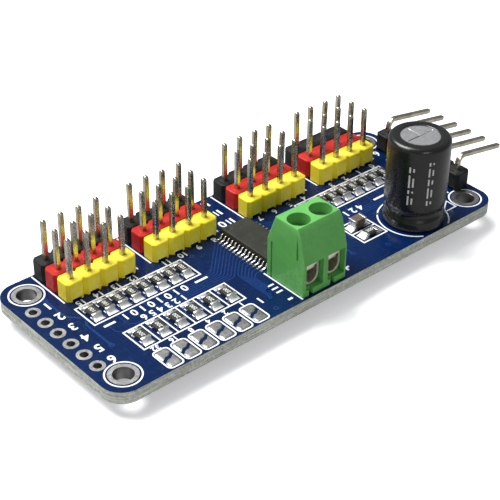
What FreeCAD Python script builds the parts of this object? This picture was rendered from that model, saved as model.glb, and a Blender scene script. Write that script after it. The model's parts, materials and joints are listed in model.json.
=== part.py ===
import FreeCAD, Part
import os
import re
import Sketcher
from FreeCAD import Vector

# Servo driver board: four groups of three-pin servo headers, a two-pole screw terminal,
# a reservoir capacitor, a driver chip with its small parts, and a right-angle header.
# Millimetres. Origin: centre of the four mounting holes, on the underside of the board.
# +X runs along the board to the right-angle header, +Y to the servo headers, +Z up.
# In the sheet, a height is measured from the top face of the board, unless it says otherwise.

sizes = {
    # the board
    "board_length": 62.0,
    "board_width": 25.0,
    "board_thickness": 1.6,
    "board_corner": 2.8,
    "mount_spacing_long": 55.88,
    "mount_spacing_wide": 19.05,
    "mount_hole": 2.5,
    "mount_pad": 3.65,
    "plating": 0.1,
    "flange": 0.05,
    "side_hole": 1.0,
    "side_pad": 1.9,
    "side_inset": 1.75,
    "side_centre": -0.19,
    "side_count": 6,
    # square-pin headers
    "pitch": 2.54,
    "pin_width": 0.64,
    "pin_length": 11.6,
    "pin_tail": 1.9,
    "pin_point": 0.16,
    "pin_drill": 1.0,
    "housing_height": 2.54,
    "housing_depth": 2.5,
    "housing_notch": 0.42,
    "housing_edge": 0.12,
    "housing_foot": 0.3,
    "housing_tunnel": 1.3,
    "group_positions": 4,
    "group_step": 12.7,
    "group_gap": 15.24,
    "group_centre": 0.25,
    "pin_rows": 3,
    "signal_row": 6.15,
    # right-angle header
    "angle_inset": 1.6,
    "angle_rise": 3.49,
    "angle_bend": 0.9,
    "angle_turn": 100.0,
    "angle_reach": 7.36,
    # screw terminal
    "terminal_centre": 0.05,
    "terminal_back": -5.4,
    "terminal_front": -12.05,
    "terminal_width": 7.0,
    "terminal_height": 8.9,
    "terminal_pole": 3.5,
    "screw_line": -8.95,
    "front_lip": 4.6,
    "front_shoulder": 8.0,
    "front_slope": 0.95,
    "front_round": 1.55,
    "back_shoulder": 5.2,
    "back_slope": 1.35,
    "well": 2.85,
    "well_floor": 6.1,
    "entry_width": 2.74,
    "entry_floor": 0.82,
    "entry_ceiling": 4.4,
    "cage_room_ceiling": 5.7,
    "cage_room_front": -11.45,
    "cage_room_back": -7.05,
    "sill_slot": 0.65,
    "sill_slot_offset": 0.55,
    "side_groove": 0.3,
    "side_groove_depth": 0.14,
    "back_groove_line": -6.3,
    "front_groove_line": -10.75,
    "screw_head": 2.72,
    "screw_head_height": 1.25,
    "screw_slot": 0.45,
    "screw_slot_depth": 0.55,
    "screw_shank": 1.75,
    "screw_clearance": 0.05,
    "screw_tip": 3.42,
    "cage_width": 2.5,
    "cage_front": -11.35,
    "cage_back": -7.25,
    "cage_bottom": 0.95,
    "cage_wall": 0.3,
    "cage_bar_bottom": 3.45,
    "cage_bar_top": 4.2,
    "contact_width": 1.4,
    "contact_thickness": 0.4,
    "contact_top": 3.38,
    "contact_front": -11.2,
    "contact_leg": -6.55,
    "contact_leg_width": 1.0,
    "contact_drill": 1.3,
    "contact_ring": 2.2,
    "contact_neck": 1.5,
    "slot_angle_1": 35.0,
    "slot_angle_2": -20.0,
    "pole_count": 2,
    # reservoir capacitor
    "capacitor_long": 19.4,
    "capacitor_wide": -8.2,
    "can_diameter": 7.8,
    "can_wall": 0.25,
    "can_bottom": 0.25,
    "can_top": 12.0,
    "can_round": 0.55,
    "can_waist_height": 2.2,
    "can_waist_depth": 0.55,
    "can_waist_half": 0.75,
    "sleeve": 0.1,
    "sleeve_window": 5.0,
    "bung_height": 3.6,
    "vent_width": 0.16,
    "vent_depth": 0.08,
    "vent_length": 2.2,
    "lead_pitch": 3.5,
    "lead_diameter": 0.6,
    "lead_drill": 0.8,
    "lead_neck": 0.9,
    "lead_count": 2,
    "winding_diameter": 6.6,
    "winding_core": 1.0,
    # driver chip
    "chip_long": -0.2,
    "chip_wide": -0.4,
    "chip_length": 9.7,
    "chip_width": 4.4,
    "chip_standoff": 0.1,
    "chip_height": 1.0,
    "chip_draft": 8.0,
    "chip_dimple": 0.8,
    "chip_dimple_depth": 0.08,
    "chip_dimple_inset": 0.85,
    "chip_leads": 14,
    "lead_step": 0.65,
    "lead_width": 0.24,
    "lead_thickness": 0.14,
    "lead_shoulder": 0.25,
    "lead_foot": 0.55,
    "lead_span": 6.4,
    # surface-mounted parts
    "land_thickness": 0.05,
    "land_width": 1.4,
    "land_length": 1.2,
    "land_gap": 1.0,
    "chip_land_length": 0.825,
    "chip_land_width": 0.336,
    "chip_land_inset": 0.1375,
    "small_length": 2.0,
    "small_width": 1.25,
    "small_height": 0.5,
    "small_end": 0.35,
    "end_proud": 0.04,
    "fillet_length": 0.6,
    "fillet_height": 0.4,
    "banks": 2,
    "bank_count": 8,
    "bank_step": 1.905,
    "bank_wide": 1.65,
    "left_bank": -17.4,
    "right_bank": 17.27,
    "address_count": 6,
    "address_first": -22.45,
    "address_wide": -5.55,
    "corner_long": 12.35,
    "corner_count": 2,
    "ceramic_wide": -5.1,
    "dropper_wide": -7.3,
    "ceramic_height": 1.25,
    "jumper_wide": -10.45,
    "jumper_width": 1.7,
    "jumper_length": 3.1,
    "jumper_gap": 0.3,
    "jumper_corner": 0.3,
    # soldered joints under the board
    "solder_ring": 1.7,
    "solder_neck": 1.0,
    "solder_height": 0.9,
}

OVERRUN = 1.0        # how far a cut starts outside the solid it opens
NEARLY = 1e-6        # two heights closer than this are the same
SHORTEST_EDGE = 1e-3
CAN_WAIST_THROAT = 3  # the waist's straight throat is its half height over this

doc = FreeCAD.newDocument("servo_driver_board")
sheet = doc.addObject("Spreadsheet::Sheet", "Sizes")
for row, (name, value) in enumerate(sizes.items(), start=1):
    sheet.set(f"A{row}", name)
    sheet.set(f"B{row}", str(value))
    sheet.setAlias(f"B{row}", name)
doc.recompute()


def bound(text):
    """The expression with each of the sheet's names written in full."""
    def in_full(word):
        return f"Sizes.{word.group()}" if word.group() in sizes else word.group()

    return re.sub(r"[a-z_]+[0-9]*", in_full, str(text))


def number(text):
    """The present value of an expression of the sheet's names."""
    value = sheet.evalExpression(bound(text))
    return float(getattr(value, "Value", value))


def place(part, x="0", y="0", z="0"):
    for axis, text in zip("xyz", (x, y, z)):
        part.setExpression(f"Placement.Base.{axis}", bound(text))


def new_body(label, x="0", y="0", z="board_thickness"):
    body = doc.addObject("PartDesign::Body", label)
    body.Label = label
    body.AllowCompound = True
    place(body, x, y, z)
    return body


def new_sketch(body, plane, offset="0"):
    """A sketch on one of the body's own origin planes, raised by an offset along its normal."""
    sketch = body.newObject("Sketcher::SketchObject", f"{body.Label}_sketch")
    face = [feature for feature in body.Origin.OriginFeatures if feature.Role == plane][0]
    sketch.AttachmentSupport = (face, "")
    sketch.MapMode = "FlatFace"
    sketch.setExpression("AttachmentOffset.Base.z", bound(offset))
    return sketch


def fix_point(sketch, geometry, position, x, y):
    """Holds a point of a sketch at sizes from the sheet."""
    for kind, text in (("DistanceX", x), ("DistanceY", y)):
        index = sketch.addConstraint(Sketcher.Constraint(kind, -1, 1, geometry, position, number(text)))
        sketch.setExpression(f"Constraints[{index}]", bound(text))


def polygon(sketch, corners):
    """A closed outline of straight lines through corners given as pairs of expressions."""
    points = [Vector(number(x), number(y), 0) for x, y in corners]
    first = sketch.GeometryCount
    for start, end in zip(points, points[1:] + points[:1]):
        sketch.addGeometry(Part.LineSegment(start, end), False)
    for side in range(len(points)):
        following = first + (side + 1) % len(points)
        sketch.addConstraint(Sketcher.Constraint("Coincident", first + side, 2, following, 1))
        fix_point(sketch, first + side, 1, *corners[side])


def rectangle(sketch, x, y, width, depth):
    """A rectangle about its centre."""
    west, east = f"({x}) - ({width}) / 2", f"({x}) + ({width}) / 2"
    south, north = f"({y}) - ({depth}) / 2", f"({y}) + ({depth}) / 2"
    polygon(sketch, [(west, south), (east, south), (east, north), (west, north)])


def octagon(sketch, x, y, width, depth, notch):
    """A rectangle about its centre with its four corners cut off."""
    corners = []
    for side_x, side_y in ((1, -1), (1, 1), (-1, 1), (-1, -1)):
        edge_x, edge_y = f"({x}) + {side_x} * ({width}) / 2", f"({y}) + {side_y} * ({depth}) / 2"
        on_x = (f"{edge_x} - {side_x} * {notch}", edge_y)
        on_y = (edge_x, f"{edge_y} - {side_y} * {notch}")
        corners += [on_x, on_y] if side_x * side_y < 0 else [on_y, on_x]
    polygon(sketch, corners)


def circle(sketch, x, y, diameter):
    centre = Vector(number(x), number(y), 0)
    index = sketch.addGeometry(Part.Circle(centre, Vector(0, 0, 1), number(diameter) / 2), False)
    fix_point(sketch, index, 3, x, y)
    size = sketch.addConstraint(Sketcher.Constraint("Diameter", index, number(diameter)))
    sketch.setExpression(f"Constraints[{size}]", bound(diameter))


def pad(body, sketch, length, both_ways=False, taper=None, down=False):
    feature = body.newObject("PartDesign::Pad", f"{body.Label}_pad")
    feature.Profile = sketch
    feature.setExpression("Length", bound(length))
    feature.SideType = "Symmetric" if both_ways else "One side"
    feature.Reversed = down
    if taper is not None:
        feature.setExpression("TaperAngle", bound(taper))
    return feature


def pocket(body, sketch, depth, both_ways=False, down=True):
    """A cut from the sketch plane, against its normal unless down is False."""
    feature = body.newObject("PartDesign::Pocket", f"{body.Label}_pocket")
    feature.Profile = sketch
    feature.setExpression("Length", bound(depth))
    feature.SideType = "Symmetric" if both_ways else "One side"
    feature.Reversed = not down
    before = body.Shape.Volume if body.Tip else 0
    doc.recompute()
    if body.Tip and feature.Shape.Volume >= before:
        raise RuntimeError(f"{feature.Label} cuts nothing")
    return feature


def turn(body, sketch):
    """A full turn of the sketch about its own vertical axis."""
    feature = body.newObject("PartDesign::Revolution", f"{body.Label}_turned")
    feature.Profile = sketch
    feature.ReferenceAxis = (sketch, ["V_Axis"])
    feature.Angle = 360
    return feature


def repeat(body, features, sketch, count, step, second=None):
    """Copies in a row along the sketch's own horizontal axis; second repeats the row along another.

    With no features named, the whole body so far is copied.
    """
    pattern = body.newObject("PartDesign::LinearPattern", f"{body.Label}_row")
    if features:
        pattern.Originals = features
    else:
        pattern.TransformMode = "Whole shape"
    pattern.Direction = (sketch, ["H_Axis"])
    pattern.setExpression("Length", bound(f"({step}) * ({count} - 1)"))
    pattern.setExpression("Occurrences", bound(count))
    if second:
        axis, second_count, second_step = second
        pattern.Direction2 = (sketch, [axis])
        pattern.setExpression("Length2", bound(f"({second_step}) * ({second_count} - 1)"))
        pattern.setExpression("Occurrences2", bound(second_count))
    body.Tip = pattern
    doc.recompute()
    return pattern


def edges_where(feature, test):
    doc.recompute()
    numbered = enumerate(feature.Shape.Edges, start=1)
    return [f"Edge{index}" for index, edge in numbered if test(edge.BoundBox)]


def chamfer(body, feature, size, test):
    bevel = body.newObject("PartDesign::Chamfer", f"{body.Label}_chamfer")
    bevel.Base = (feature, edges_where(feature, test))
    bevel.setExpression("Size", bound(size))
    body.Tip = bevel
    return bevel


def at_height(*heights):
    """Tests whether an edge lies flat at one of the heights."""
    levels = [number(height) for height in heights]
    return lambda box: box.ZLength < NEARLY and any(abs(box.ZMin - level) < NEARLY for level in levels)


# ---- the board and its plated holes

first_pin = "(group_positions - 1) / 2 * pitch"
group_starts = [
    f"group_centre + {side} * (group_gap / 2 + {outer} * group_step) - {first_pin}"
    for side, outer in ((-1, 1), (-1, 0), (1, 0), (1, 1))
]
rows = (("signal", "signal_row"), ("power", "signal_row + pitch"), ("ground", "signal_row + 2 * pitch"))
left_row = "-board_length / 2 + side_inset"
right_row = "board_length / 2 - angle_inset"
row_start = "side_centre - (side_count - 1) / 2 * pitch"
poles = ("terminal_centre - terminal_pole / 2", "terminal_centre + terminal_pole / 2")
mount_spots = [
    (f"{along_x} * mount_spacing_long / 2", f"{along_y} * mount_spacing_wide / 2")
    for along_x in (-1, 1) for along_y in (-1, 1)
]
side_rows = [f"{row_start} + {index} * pitch" for index in range(sizes["side_count"])]


def make_board():
    board = new_body("circuit_board", z="0")
    outline = new_sketch(board, "XY_Plane")
    rectangle(outline, "0", "0", "board_length", "board_width")
    plate = pad(board, outline, "board_thickness")
    rounded = board.newObject("PartDesign::Fillet", "board_corners")
    rounded.Base = (plate, edges_where(plate, lambda box: box.ZLength > NEARLY))
    rounded.setExpression("Radius", "Sizes.board_corner")
    board.Tip = rounded
    doc.recompute()

    drilled = new_sketch(board, "XY_Plane", "board_thickness")
    for x, y in mount_spots:
        circle(drilled, x, y, "mount_hole + 2 * plating")
    for y in side_rows:
        circle(drilled, left_row, y, "side_hole + 2 * plating")
        circle(drilled, right_row, y, "pin_drill")
    for pole in poles:
        circle(drilled, pole, "contact_leg", "contact_drill")
    for side in (-1, 1):
        circle(drilled, f"capacitor_long + {side} * lead_pitch / 2", "capacitor_wide", "lead_drill")
    pocket(board, drilled, "board_thickness")

    servo_holes = new_sketch(board, "XY_Plane", "board_thickness")
    for start in group_starts:
        circle(servo_holes, start, "signal_row", "pin_drill")
    first_holes = pocket(board, servo_holes, "board_thickness")
    further_rows = ("V_Axis", "pin_rows", "pitch")
    repeat(board, [first_holes], servo_holes, "group_positions", "pitch", second=further_rows)


def make_plating(label, spots, hole, ring):
    """Plated barrels with a flat ring on each face of the board."""
    plated = new_body(label, z="0")
    for z, height, outer in (("-flange", "flange", ring), ("board_thickness", "flange", ring),
                             ("0", "board_thickness", f"{hole} + 2 * plating")):
        disc = new_sketch(plated, "XY_Plane", z)
        for x, y in spots:
            circle(disc, x, y, outer)
        pad(plated, disc, height)
    drilled = new_sketch(plated, "XY_Plane", "board_thickness + flange")
    for x, y in spots:
        circle(drilled, x, y, hole)
    doc.recompute()
    pocket(plated, drilled, "board_thickness + 2 * flange")


# ---- square-pin headers

def make_strip(label, x, y, count, along_y=False):
    """A moulded header strip: cells with cut corners, a hole for each pin and a raised foot."""
    strip = new_body(label, x, y)
    cell = new_sketch(strip, "XY_Plane")
    octagon(cell, "0", "0", "pitch", "housing_depth", "housing_notch")
    block = pad(strip, cell, "housing_height")
    doc.recompute()
    hole = new_sketch(strip, "XY_Plane", "housing_height")
    rectangle(hole, "0", "0", "pin_width", "pin_width")
    socket = pocket(strip, hole, "housing_height")
    tunnel = new_sketch(strip, "XZ_Plane")
    rectangle(tunnel, "0", "housing_foot / 2", "housing_tunnel", "housing_foot")
    arch = pocket(strip, tunnel, f"housing_depth + {OVERRUN}", both_ways=True)
    cells = repeat(strip, [block, socket, arch], cell, count, "pitch")
    half_pin = number("pin_width") / 2 + SHORTEST_EDGE

    def outer_top_edge(box):
        inside = abs(box.YMin) < half_pin and abs(box.YMax) < half_pin
        return at_height("housing_height")(box) and not inside

    chamfer(strip, cells, "housing_edge", outer_top_edge)
    if along_y:
        strip.Placement.Rotation = FreeCAD.Rotation(Vector(0, 0, 1), 90)
    return strip


def make_pins(label, x, y, count):
    """Straight square pins with pointed ends, standing through the board."""
    pins = new_body(label, x, y, z="-pin_tail")
    section = new_sketch(pins, "XY_Plane")
    for index in range(count):
        rectangle(section, f"{index} * pitch", "0", "pin_width", "pin_width")
    shafts = pad(pins, section, "pin_length")
    chamfer(pins, shafts, "pin_point", at_height("0", "pin_length"))


def make_angle_pins():
    """Pins that rise from the housing, turn outwards and end clear of the board."""
    pins = new_body("angle_header_pins", right_row, row_start)
    path = new_sketch(pins, "XZ_Plane")
    radius, drop = "angle_bend", "(angle_turn - 90)"
    crown_x = f"{radius} - {radius} * cos(angle_turn)"
    crown_z = f"angle_rise + {radius} * sin(angle_turn)"
    tip_x = f"{crown_x} + angle_reach * cos({drop})"
    tip_z = f"{crown_z} - angle_reach * sin({drop})"
    foot_z = "-board_thickness - pin_tail"
    corner = [Vector(number(a), number(b), 0) for a, b in
              (("0", foot_z), ("0", "angle_rise"), (crown_x, crown_z), (tip_x, tip_z))]
    bend = Part.Circle(Vector(number(radius), number("angle_rise"), 0), Vector(0, 0, 1), number(radius))
    start = FreeCAD.Units.Quantity(f"{180 - number('angle_turn')} deg").getValueAs("rad").Value
    stop = FreeCAD.Units.Quantity("180 deg").getValueAs("rad").Value
    path.addGeometry(Part.LineSegment(corner[0], corner[1]), False)
    path.addGeometry(Part.ArcOfCircle(bend, start, stop), False)
    path.addGeometry(Part.LineSegment(corner[2], corner[3]), False)
    path.addConstraint(Sketcher.Constraint("Tangent", 0, 2, 1, 2))
    path.addConstraint(Sketcher.Constraint("Tangent", 1, 1, 2, 1))
    fix_point(path, 0, 1, "0", foot_z)
    fix_point(path, 0, 2, "0", "angle_rise")
    fix_point(path, 2, 2, tip_x, tip_z)
    section = new_sketch(pins, "XY_Plane", foot_z)
    rectangle(section, "0", "0", "pin_width", "pin_width")
    wire = pins.newObject("PartDesign::AdditivePipe", "bent_wire")
    wire.Profile = section
    wire.Spine = (path, [])
    doc.recompute()
    across = new_sketch(pins, "YZ_Plane")
    repeat(pins, [wire], across, "side_count", "pitch")


def make_solder(label, x, y, ring, neck, drill, core, copies):
    """Soldered joints: a filled hole and a cone below the board, round each pin's tail.

    The first joint stands at x, y, and each row of copies takes up what there is so far.
    """
    joints = new_body(label, x, y, z="0")
    filled = new_sketch(joints, "XY_Plane")
    circle(filled, "0", "0", drill)
    pad(joints, filled, "board_thickness")
    mound = new_sketch(joints, "XY_Plane", "-solder_height")
    circle(mound, "0", "0", neck)
    pad(joints, mound, "solder_height", taper=f"atan((({ring}) - ({neck})) / 2 / solder_height)")
    doc.recompute()
    tail = new_sketch(joints, "XY_Plane", "board_thickness")
    core(tail, "0", "0")
    pocket(joints, tail, "board_thickness + solder_height")
    for plane, count, step, second in copies:
        repeat(joints, None, new_sketch(joints, plane), count, step, second)


def square_core(sketch, x, y):
    rectangle(sketch, x, y, "pin_width", "pin_width")


def contact_core(sketch, x, y):
    rectangle(sketch, x, y, "contact_leg_width", "contact_thickness")


def lead_core(sketch, x, y):
    circle(sketch, x, y, "lead_diameter")


# ---- screw terminal: housing, two captive screws, two rising cages and their current bars

def between(low, high):
    """The centre and the length of a stretch, as expressions."""
    return f"(({low}) + ({high})) / 2", f"abs(({high}) - ({low}))"


def cut_down(body, spots, y_range, width, top, bottom):
    """A rectangular room under each spot, from a height down to another."""
    room = new_sketch(body, "XY_Plane", top)
    y, depth = between(*y_range)
    for x in spots:
        rectangle(room, x, y, width, depth)
    pocket(body, room, f"({top}) - ({bottom})")


def make_terminal_housing():
    housing = new_body("terminal_housing", "terminal_centre")
    side = new_sketch(housing, "YZ_Plane")
    polygon(side, [
        ("terminal_front", "0"),
        ("terminal_back", "0"),
        ("terminal_back", "back_shoulder"),
        ("terminal_back - back_slope", "terminal_height"),
        ("terminal_front + front_round", "terminal_height"),
        ("terminal_front + front_slope", "front_shoulder"),
        ("terminal_front", "front_lip"),
    ])
    block = pad(housing, side, "terminal_width", both_ways=True)
    chamfer(housing, block, "side_groove / 2", lambda box: box.XLength < NEARLY < box.ZMax)
    doc.recompute()

    spots = [f"{side} * terminal_pole / 2" for side in (-1, 1)]
    outside, ceiling = f"terminal_front - {OVERRUN}", "cage_room_ceiling"
    wells = new_sketch(housing, "XY_Plane", "terminal_height")
    bores = new_sketch(housing, "XY_Plane", "well_floor")
    for x in spots:
        circle(wells, x, "screw_line", "well")
        circle(bores, x, "screw_line", "screw_shank + 2 * screw_clearance")
    pocket(housing, wells, "terminal_height - well_floor")
    pocket(housing, bores, "well_floor - cage_room_ceiling")
    room, entry = ("cage_room_front", "cage_room_back"), (outside, "cage_room_front")
    cut_down(housing, spots, room, "entry_width", ceiling, "entry_floor")
    cut_down(housing, spots, entry, "entry_width", "entry_ceiling", "entry_floor")
    slots = [f"{x} - sill_slot_offset" for x in spots]
    cut_down(housing, slots, entry, "sill_slot", "entry_floor", "0")
    leg_back = "contact_leg + contact_thickness / 2"
    cut_down(housing, spots, ("cage_room_back", leg_back), "contact_width", "contact_top", "0")

    for side_sign in (-1, 1):
        grooves = new_sketch(housing, "YZ_Plane", f"{side_sign} * terminal_width / 2")
        rectangle(grooves, "back_groove_line", "back_shoulder / 2", "side_groove", "back_shoulder")
        polygon(grooves, [
            ("front_groove_line - side_groove", "front_lip + side_groove"),
            ("front_groove_line + side_groove / 2", "front_lip"),
            ("front_groove_line + side_groove / 2", "front_shoulder"),
        ])
        pocket(housing, grooves, "side_groove_depth", down=side_sign > 0)


def make_terminal_screw(label, x, slot_angle):
    screw = new_body(label, x, "screw_line")
    half = new_sketch(screw, "XZ_Plane")
    head_bottom = "well_floor + screw_clearance"
    head_top = f"{head_bottom} + screw_head_height"
    polygon(half, [
        ("0", "screw_tip"),
        ("screw_shank / 2 - pin_point", "screw_tip"),
        ("screw_shank / 2", "screw_tip + pin_point"),
        ("screw_shank / 2", head_bottom),
        ("screw_head / 2", head_bottom),
        ("screw_head / 2", f"{head_top} - pin_point"),
        ("screw_head / 2 - pin_point", head_top),
        ("0", head_top),
    ])
    turn(screw, half)
    doc.recompute()
    slot = new_sketch(screw, "XY_Plane", head_top)
    rectangle(slot, "0", "0", f"screw_head + {OVERRUN}", "screw_slot")
    pocket(screw, slot, "screw_slot_depth")
    screw.Placement.Rotation = FreeCAD.Rotation(Vector(0, 0, 1), number(slot_angle))


def make_terminal_cage(label, x):
    """A rising clamp: a threaded bar across the top of a round-bottomed loop."""
    cage = new_body(label, x, "screw_line")
    round_centre = "cage_bottom + cage_width / 2"
    middle = "screw_line - (cage_front + cage_back) / 2"
    length = "cage_back - cage_front"
    for cut, width, top in ((False, "cage_width", "cage_bar_top"),
                            (True, "cage_width - 2 * cage_wall", "cage_bar_bottom")):
        loop = new_sketch(cage, "XZ_Plane", middle)
        circle(loop, "0", round_centre, width)
        upright = new_sketch(cage, "XZ_Plane", middle)
        z, height = between(round_centre, top)
        rectangle(upright, "0", z, width, height)
        for section in (loop, upright):
            doc.recompute()
            if cut:
                pocket(cage, section, length, both_ways=True)
            else:
                pad(cage, section, length, both_ways=True)
    doc.recompute()
    thread = new_sketch(cage, "XY_Plane", "cage_bar_top")
    circle(thread, "0", "0", "screw_shank + 2 * screw_clearance")
    pocket(cage, thread, "cage_bar_top - cage_bar_bottom")


def make_terminal_contacts():
    contacts = new_body("terminal_contacts", poles[0])
    strip = new_sketch(contacts, "YZ_Plane")
    y, length = between("contact_front", "contact_leg + contact_thickness / 2")
    rectangle(strip, y, "contact_top - contact_thickness / 2", length, "contact_thickness")
    bar = pad(contacts, strip, "contact_width", both_ways=True)
    leg = new_sketch(contacts, "YZ_Plane")
    z, height = between("-board_thickness - pin_tail", "contact_top - contact_thickness")
    rectangle(leg, "contact_leg", z, "contact_thickness", height)
    prong = pad(contacts, leg, "contact_leg_width", both_ways=True)
    across = new_sketch(contacts, "XY_Plane")
    repeat(contacts, [bar, prong], across, "pole_count", "terminal_pole")


# ---- reservoir capacitor

def round_edge(body, feature, radius, height, reach):
    """Rounds the turned edge at a height and a distance from the axis."""
    edge = body.newObject("PartDesign::Fillet", f"{body.Label}_round")
    level, far = at_height(height), number(reach)
    edge.Base = (feature, edges_where(feature, lambda box: level(box) and abs(box.XMax - far) < NEARLY))
    edge.setExpression("Radius", bound(radius))
    body.Tip = edge
    doc.recompute()
    return edge


def make_capacitor():
    spot = ("capacitor_long", "capacitor_wide")
    outer, waist = "can_diameter / 2", "can_waist_height"
    low, high = f"{waist} - can_waist_half", f"{waist} + can_waist_half"
    throat = f"can_waist_half / {CAN_WAIST_THROAT}"
    throat_low, throat_high = f"{waist} - {throat}", f"{waist} + {throat}"

    def wall(grow):
        """The side of the can from the bottom up, moved outwards by grow."""
        reach, narrow = f"{outer} + {grow}", f"{outer} - can_waist_depth + {grow}"
        return [
            (reach, "can_bottom"), (reach, low),
            (narrow, throat_low), (narrow, throat_high), (reach, high),
        ]

    can = new_body("capacitor_can", *spot)
    shell = new_sketch(can, "XZ_Plane")
    inside = wall("-can_wall")
    polygon(shell, wall("0") + [
        (outer, "can_top"), ("0", "can_top"), ("0", "can_top - can_wall"),
        (f"{outer} - can_wall", "can_top - can_wall"),
    ] + inside[::-1])
    turned = turn(can, shell)
    round_edge(can, turned, "can_round", "can_top", outer)
    vents = new_sketch(can, "XY_Plane", "can_top")
    rectangle(vents, "0", "0", "2 * vent_length", "vent_width")
    doc.recompute()
    pocket(can, vents, "vent_depth")
    cross_vent = new_sketch(can, "XY_Plane", "can_top")
    rectangle(cross_vent, "0", "vent_length / 2", "vent_width", "vent_length")
    pocket(can, cross_vent, "vent_depth")

    sleeve = new_body("capacitor_sleeve", *spot)
    film = new_sketch(sleeve, "XZ_Plane")
    skin = wall("sleeve")
    polygon(film, skin + [
        (f"{outer} + sleeve", "can_top + sleeve"), ("sleeve_window / 2", "can_top + sleeve"),
        ("sleeve_window / 2", "can_top"), (outer, "can_top"),
    ] + wall("0")[::-1])
    wrapped = turn(sleeve, film)
    top_of_sleeve, outside = "can_top + sleeve", f"{outer} + sleeve"
    folded = round_edge(sleeve, wrapped, "can_round + sleeve", top_of_sleeve, outside)
    round_edge(sleeve, folded, "can_round", "can_top", outer)

    bung = new_body("capacitor_bung", *spot)
    plug = new_sketch(bung, "XZ_Plane")
    polygon(plug, [("0", "can_bottom")] + inside
            + [(f"{outer} - can_wall", "bung_height"), ("0", "bung_height")])
    turn(bung, plug)
    doc.recompute()
    ways = new_sketch(bung, "XY_Plane", "bung_height")
    leads = new_body("capacitor_leads", *spot)
    wires = new_sketch(leads, "XY_Plane", "-board_thickness - pin_tail")
    for side in (-1, 1):
        circle(ways, f"{side} * lead_pitch / 2", "0", "lead_diameter")
        circle(wires, f"{side} * lead_pitch / 2", "0", "lead_diameter")
    pocket(bung, ways, "bung_height")
    pad(leads, wires, "bung_height + board_thickness + pin_tail")

    winding = new_body("capacitor_winding", *spot)
    roll = new_sketch(winding, "XY_Plane", "bung_height")
    circle(roll, "0", "0", "winding_diameter")
    circle(roll, "0", "0", "winding_core")
    pad(winding, roll, "can_top - 2 * can_wall - bung_height")


# ---- driver chip

def make_chip():
    middle = "chip_standoff + chip_height / 2"
    package = new_body("chip_package", "chip_long", "chip_wide")
    for down in (False, True):
        waist = new_sketch(package, "XY_Plane", middle)
        rectangle(waist, "0", "0", "chip_width", "chip_length")
        pad(package, waist, "chip_height / 2", taper="-chip_draft", down=down)
    doc.recompute()
    dimple = new_sketch(package, "XY_Plane", "chip_standoff + chip_height")
    dimple_x, dimple_y = "chip_dimple_inset - chip_width / 2", "chip_length / 2 - chip_dimple_inset"
    circle(dimple, dimple_x, dimple_y, "chip_dimple")
    pocket(package, dimple, "chip_dimple_depth")

    leads = new_body("chip_leads", "chip_long", "chip_wide")
    side = new_sketch(leads, "XZ_Plane")
    for sign in (-1, 1):
        root, bend = "chip_width / 2", "chip_width / 2 + lead_shoulder"
        heel, toe = "lead_span / 2 - lead_foot", "lead_span / 2"
        under = "lead_thickness / 2"
        corners = [
            (root, f"{middle} + {under}"), (bend, f"{middle} + {under}"),
            (f"{heel} + {under}", "land_thickness + lead_thickness"),
            (toe, "land_thickness + lead_thickness"),
            (toe, "land_thickness"), (heel, "land_thickness"),
            (f"{bend} - {under}", f"{middle} - {under}"), (root, f"{middle} - {under}"),
        ]
        polygon(side, [(f"{sign} * ({x})", z) for x, z in corners])
    pair = pad(leads, side, "lead_width", both_ways=True)
    doc.recompute()
    along = new_sketch(leads, "YZ_Plane")
    repeat(leads, [pair], along, "chip_leads", "lead_step")
    leads.setExpression("Placement.Base.y", bound("chip_wide - lead_step * (chip_leads - 1) / 2"))


# ---- surface-mounted parts, in groups: the first part's centre, the direction of its length,
# and the rows that copy it

series_group = (
    "left_bank - (bank_count - 1) / 2 * bank_step", "bank_wide", "y",
    [("XY_Plane", "bank_count", "bank_step", ("H_Axis", "banks", "right_bank - left_bank"))],
)
address_group = ("address_first", "address_wide", "y", [("XY_Plane", "address_count", "pitch", None)])
corner_group = (
    "corner_long", "dropper_wide", "x",
    [("YZ_Plane", "corner_count", "ceramic_wide - dropper_wide", None)],
)
ceramic, dropper = (("corner_long", f"{name}_wide", "x", []) for name in ("ceramic", "dropper"))


def along(lengthwise, length, width):
    """A pair of sizes put in X, Y order."""
    return (length, width) if lengthwise == "x" else (width, length)


def add_blocks(body, blocks, bottom, height):
    """Blocks of one height on a level: each a centre, a size along X and a size along Y."""
    outline = new_sketch(body, "XY_Plane", bottom)
    for x, y, width, depth in blocks:
        rectangle(outline, x, y, width, depth)
    block = pad(body, outline, height)
    doc.recompute()
    return block


def both_ends(lengthwise, reach, length, width):
    """The two blocks at a distance each way from the centre, along the part's length."""
    size = along(lengthwise, length, width)
    return [(*along(lengthwise, f"{side} * ({reach})", "0"), *size) for side in (-1, 1)]


def copy_rows(body, rows_of_copies):
    for plane, count, step, second in rows_of_copies:
        repeat(body, None, new_sketch(body, plane), count, step, second)


def make_small_bodies(label, group, height, bottom="land_thickness"):
    x, y, lengthwise, copies = group
    bodies = new_body(label, x, y)
    length = "small_length - 2 * small_end"
    add_blocks(bodies, [("0", "0", *along(lengthwise, length, "small_width"))], bottom, height)
    copy_rows(bodies, copies)


def make_small_ends(label, group, height):
    x, y, lengthwise, copies = group
    ends = new_body(label, x, y)
    reach, width = "(small_length - small_end) / 2", "small_width + 2 * end_proud"
    pair = both_ends(lengthwise, reach, "small_end", width)
    add_blocks(ends, pair, "land_thickness", f"{height} + end_proud")
    copy_rows(ends, copies)


def make_corner_ends():
    """The metal ends of the two parts of the boxed corner, each pair as high as its part."""
    ends = new_body("corner_part_ends", "corner_long", "0")
    reach, width = "(small_length - small_end) / 2", "small_width + 2 * end_proud"
    metal = both_ends("x", reach, "small_end", width)
    for line, height in (("ceramic_wide", "ceramic_height"), ("dropper_wide", "small_height")):
        pair = [(x, line, size_x, size_y) for x, _, size_x, size_y in metal]
        add_blocks(ends, pair, "land_thickness", f"{height} + end_proud")


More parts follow.
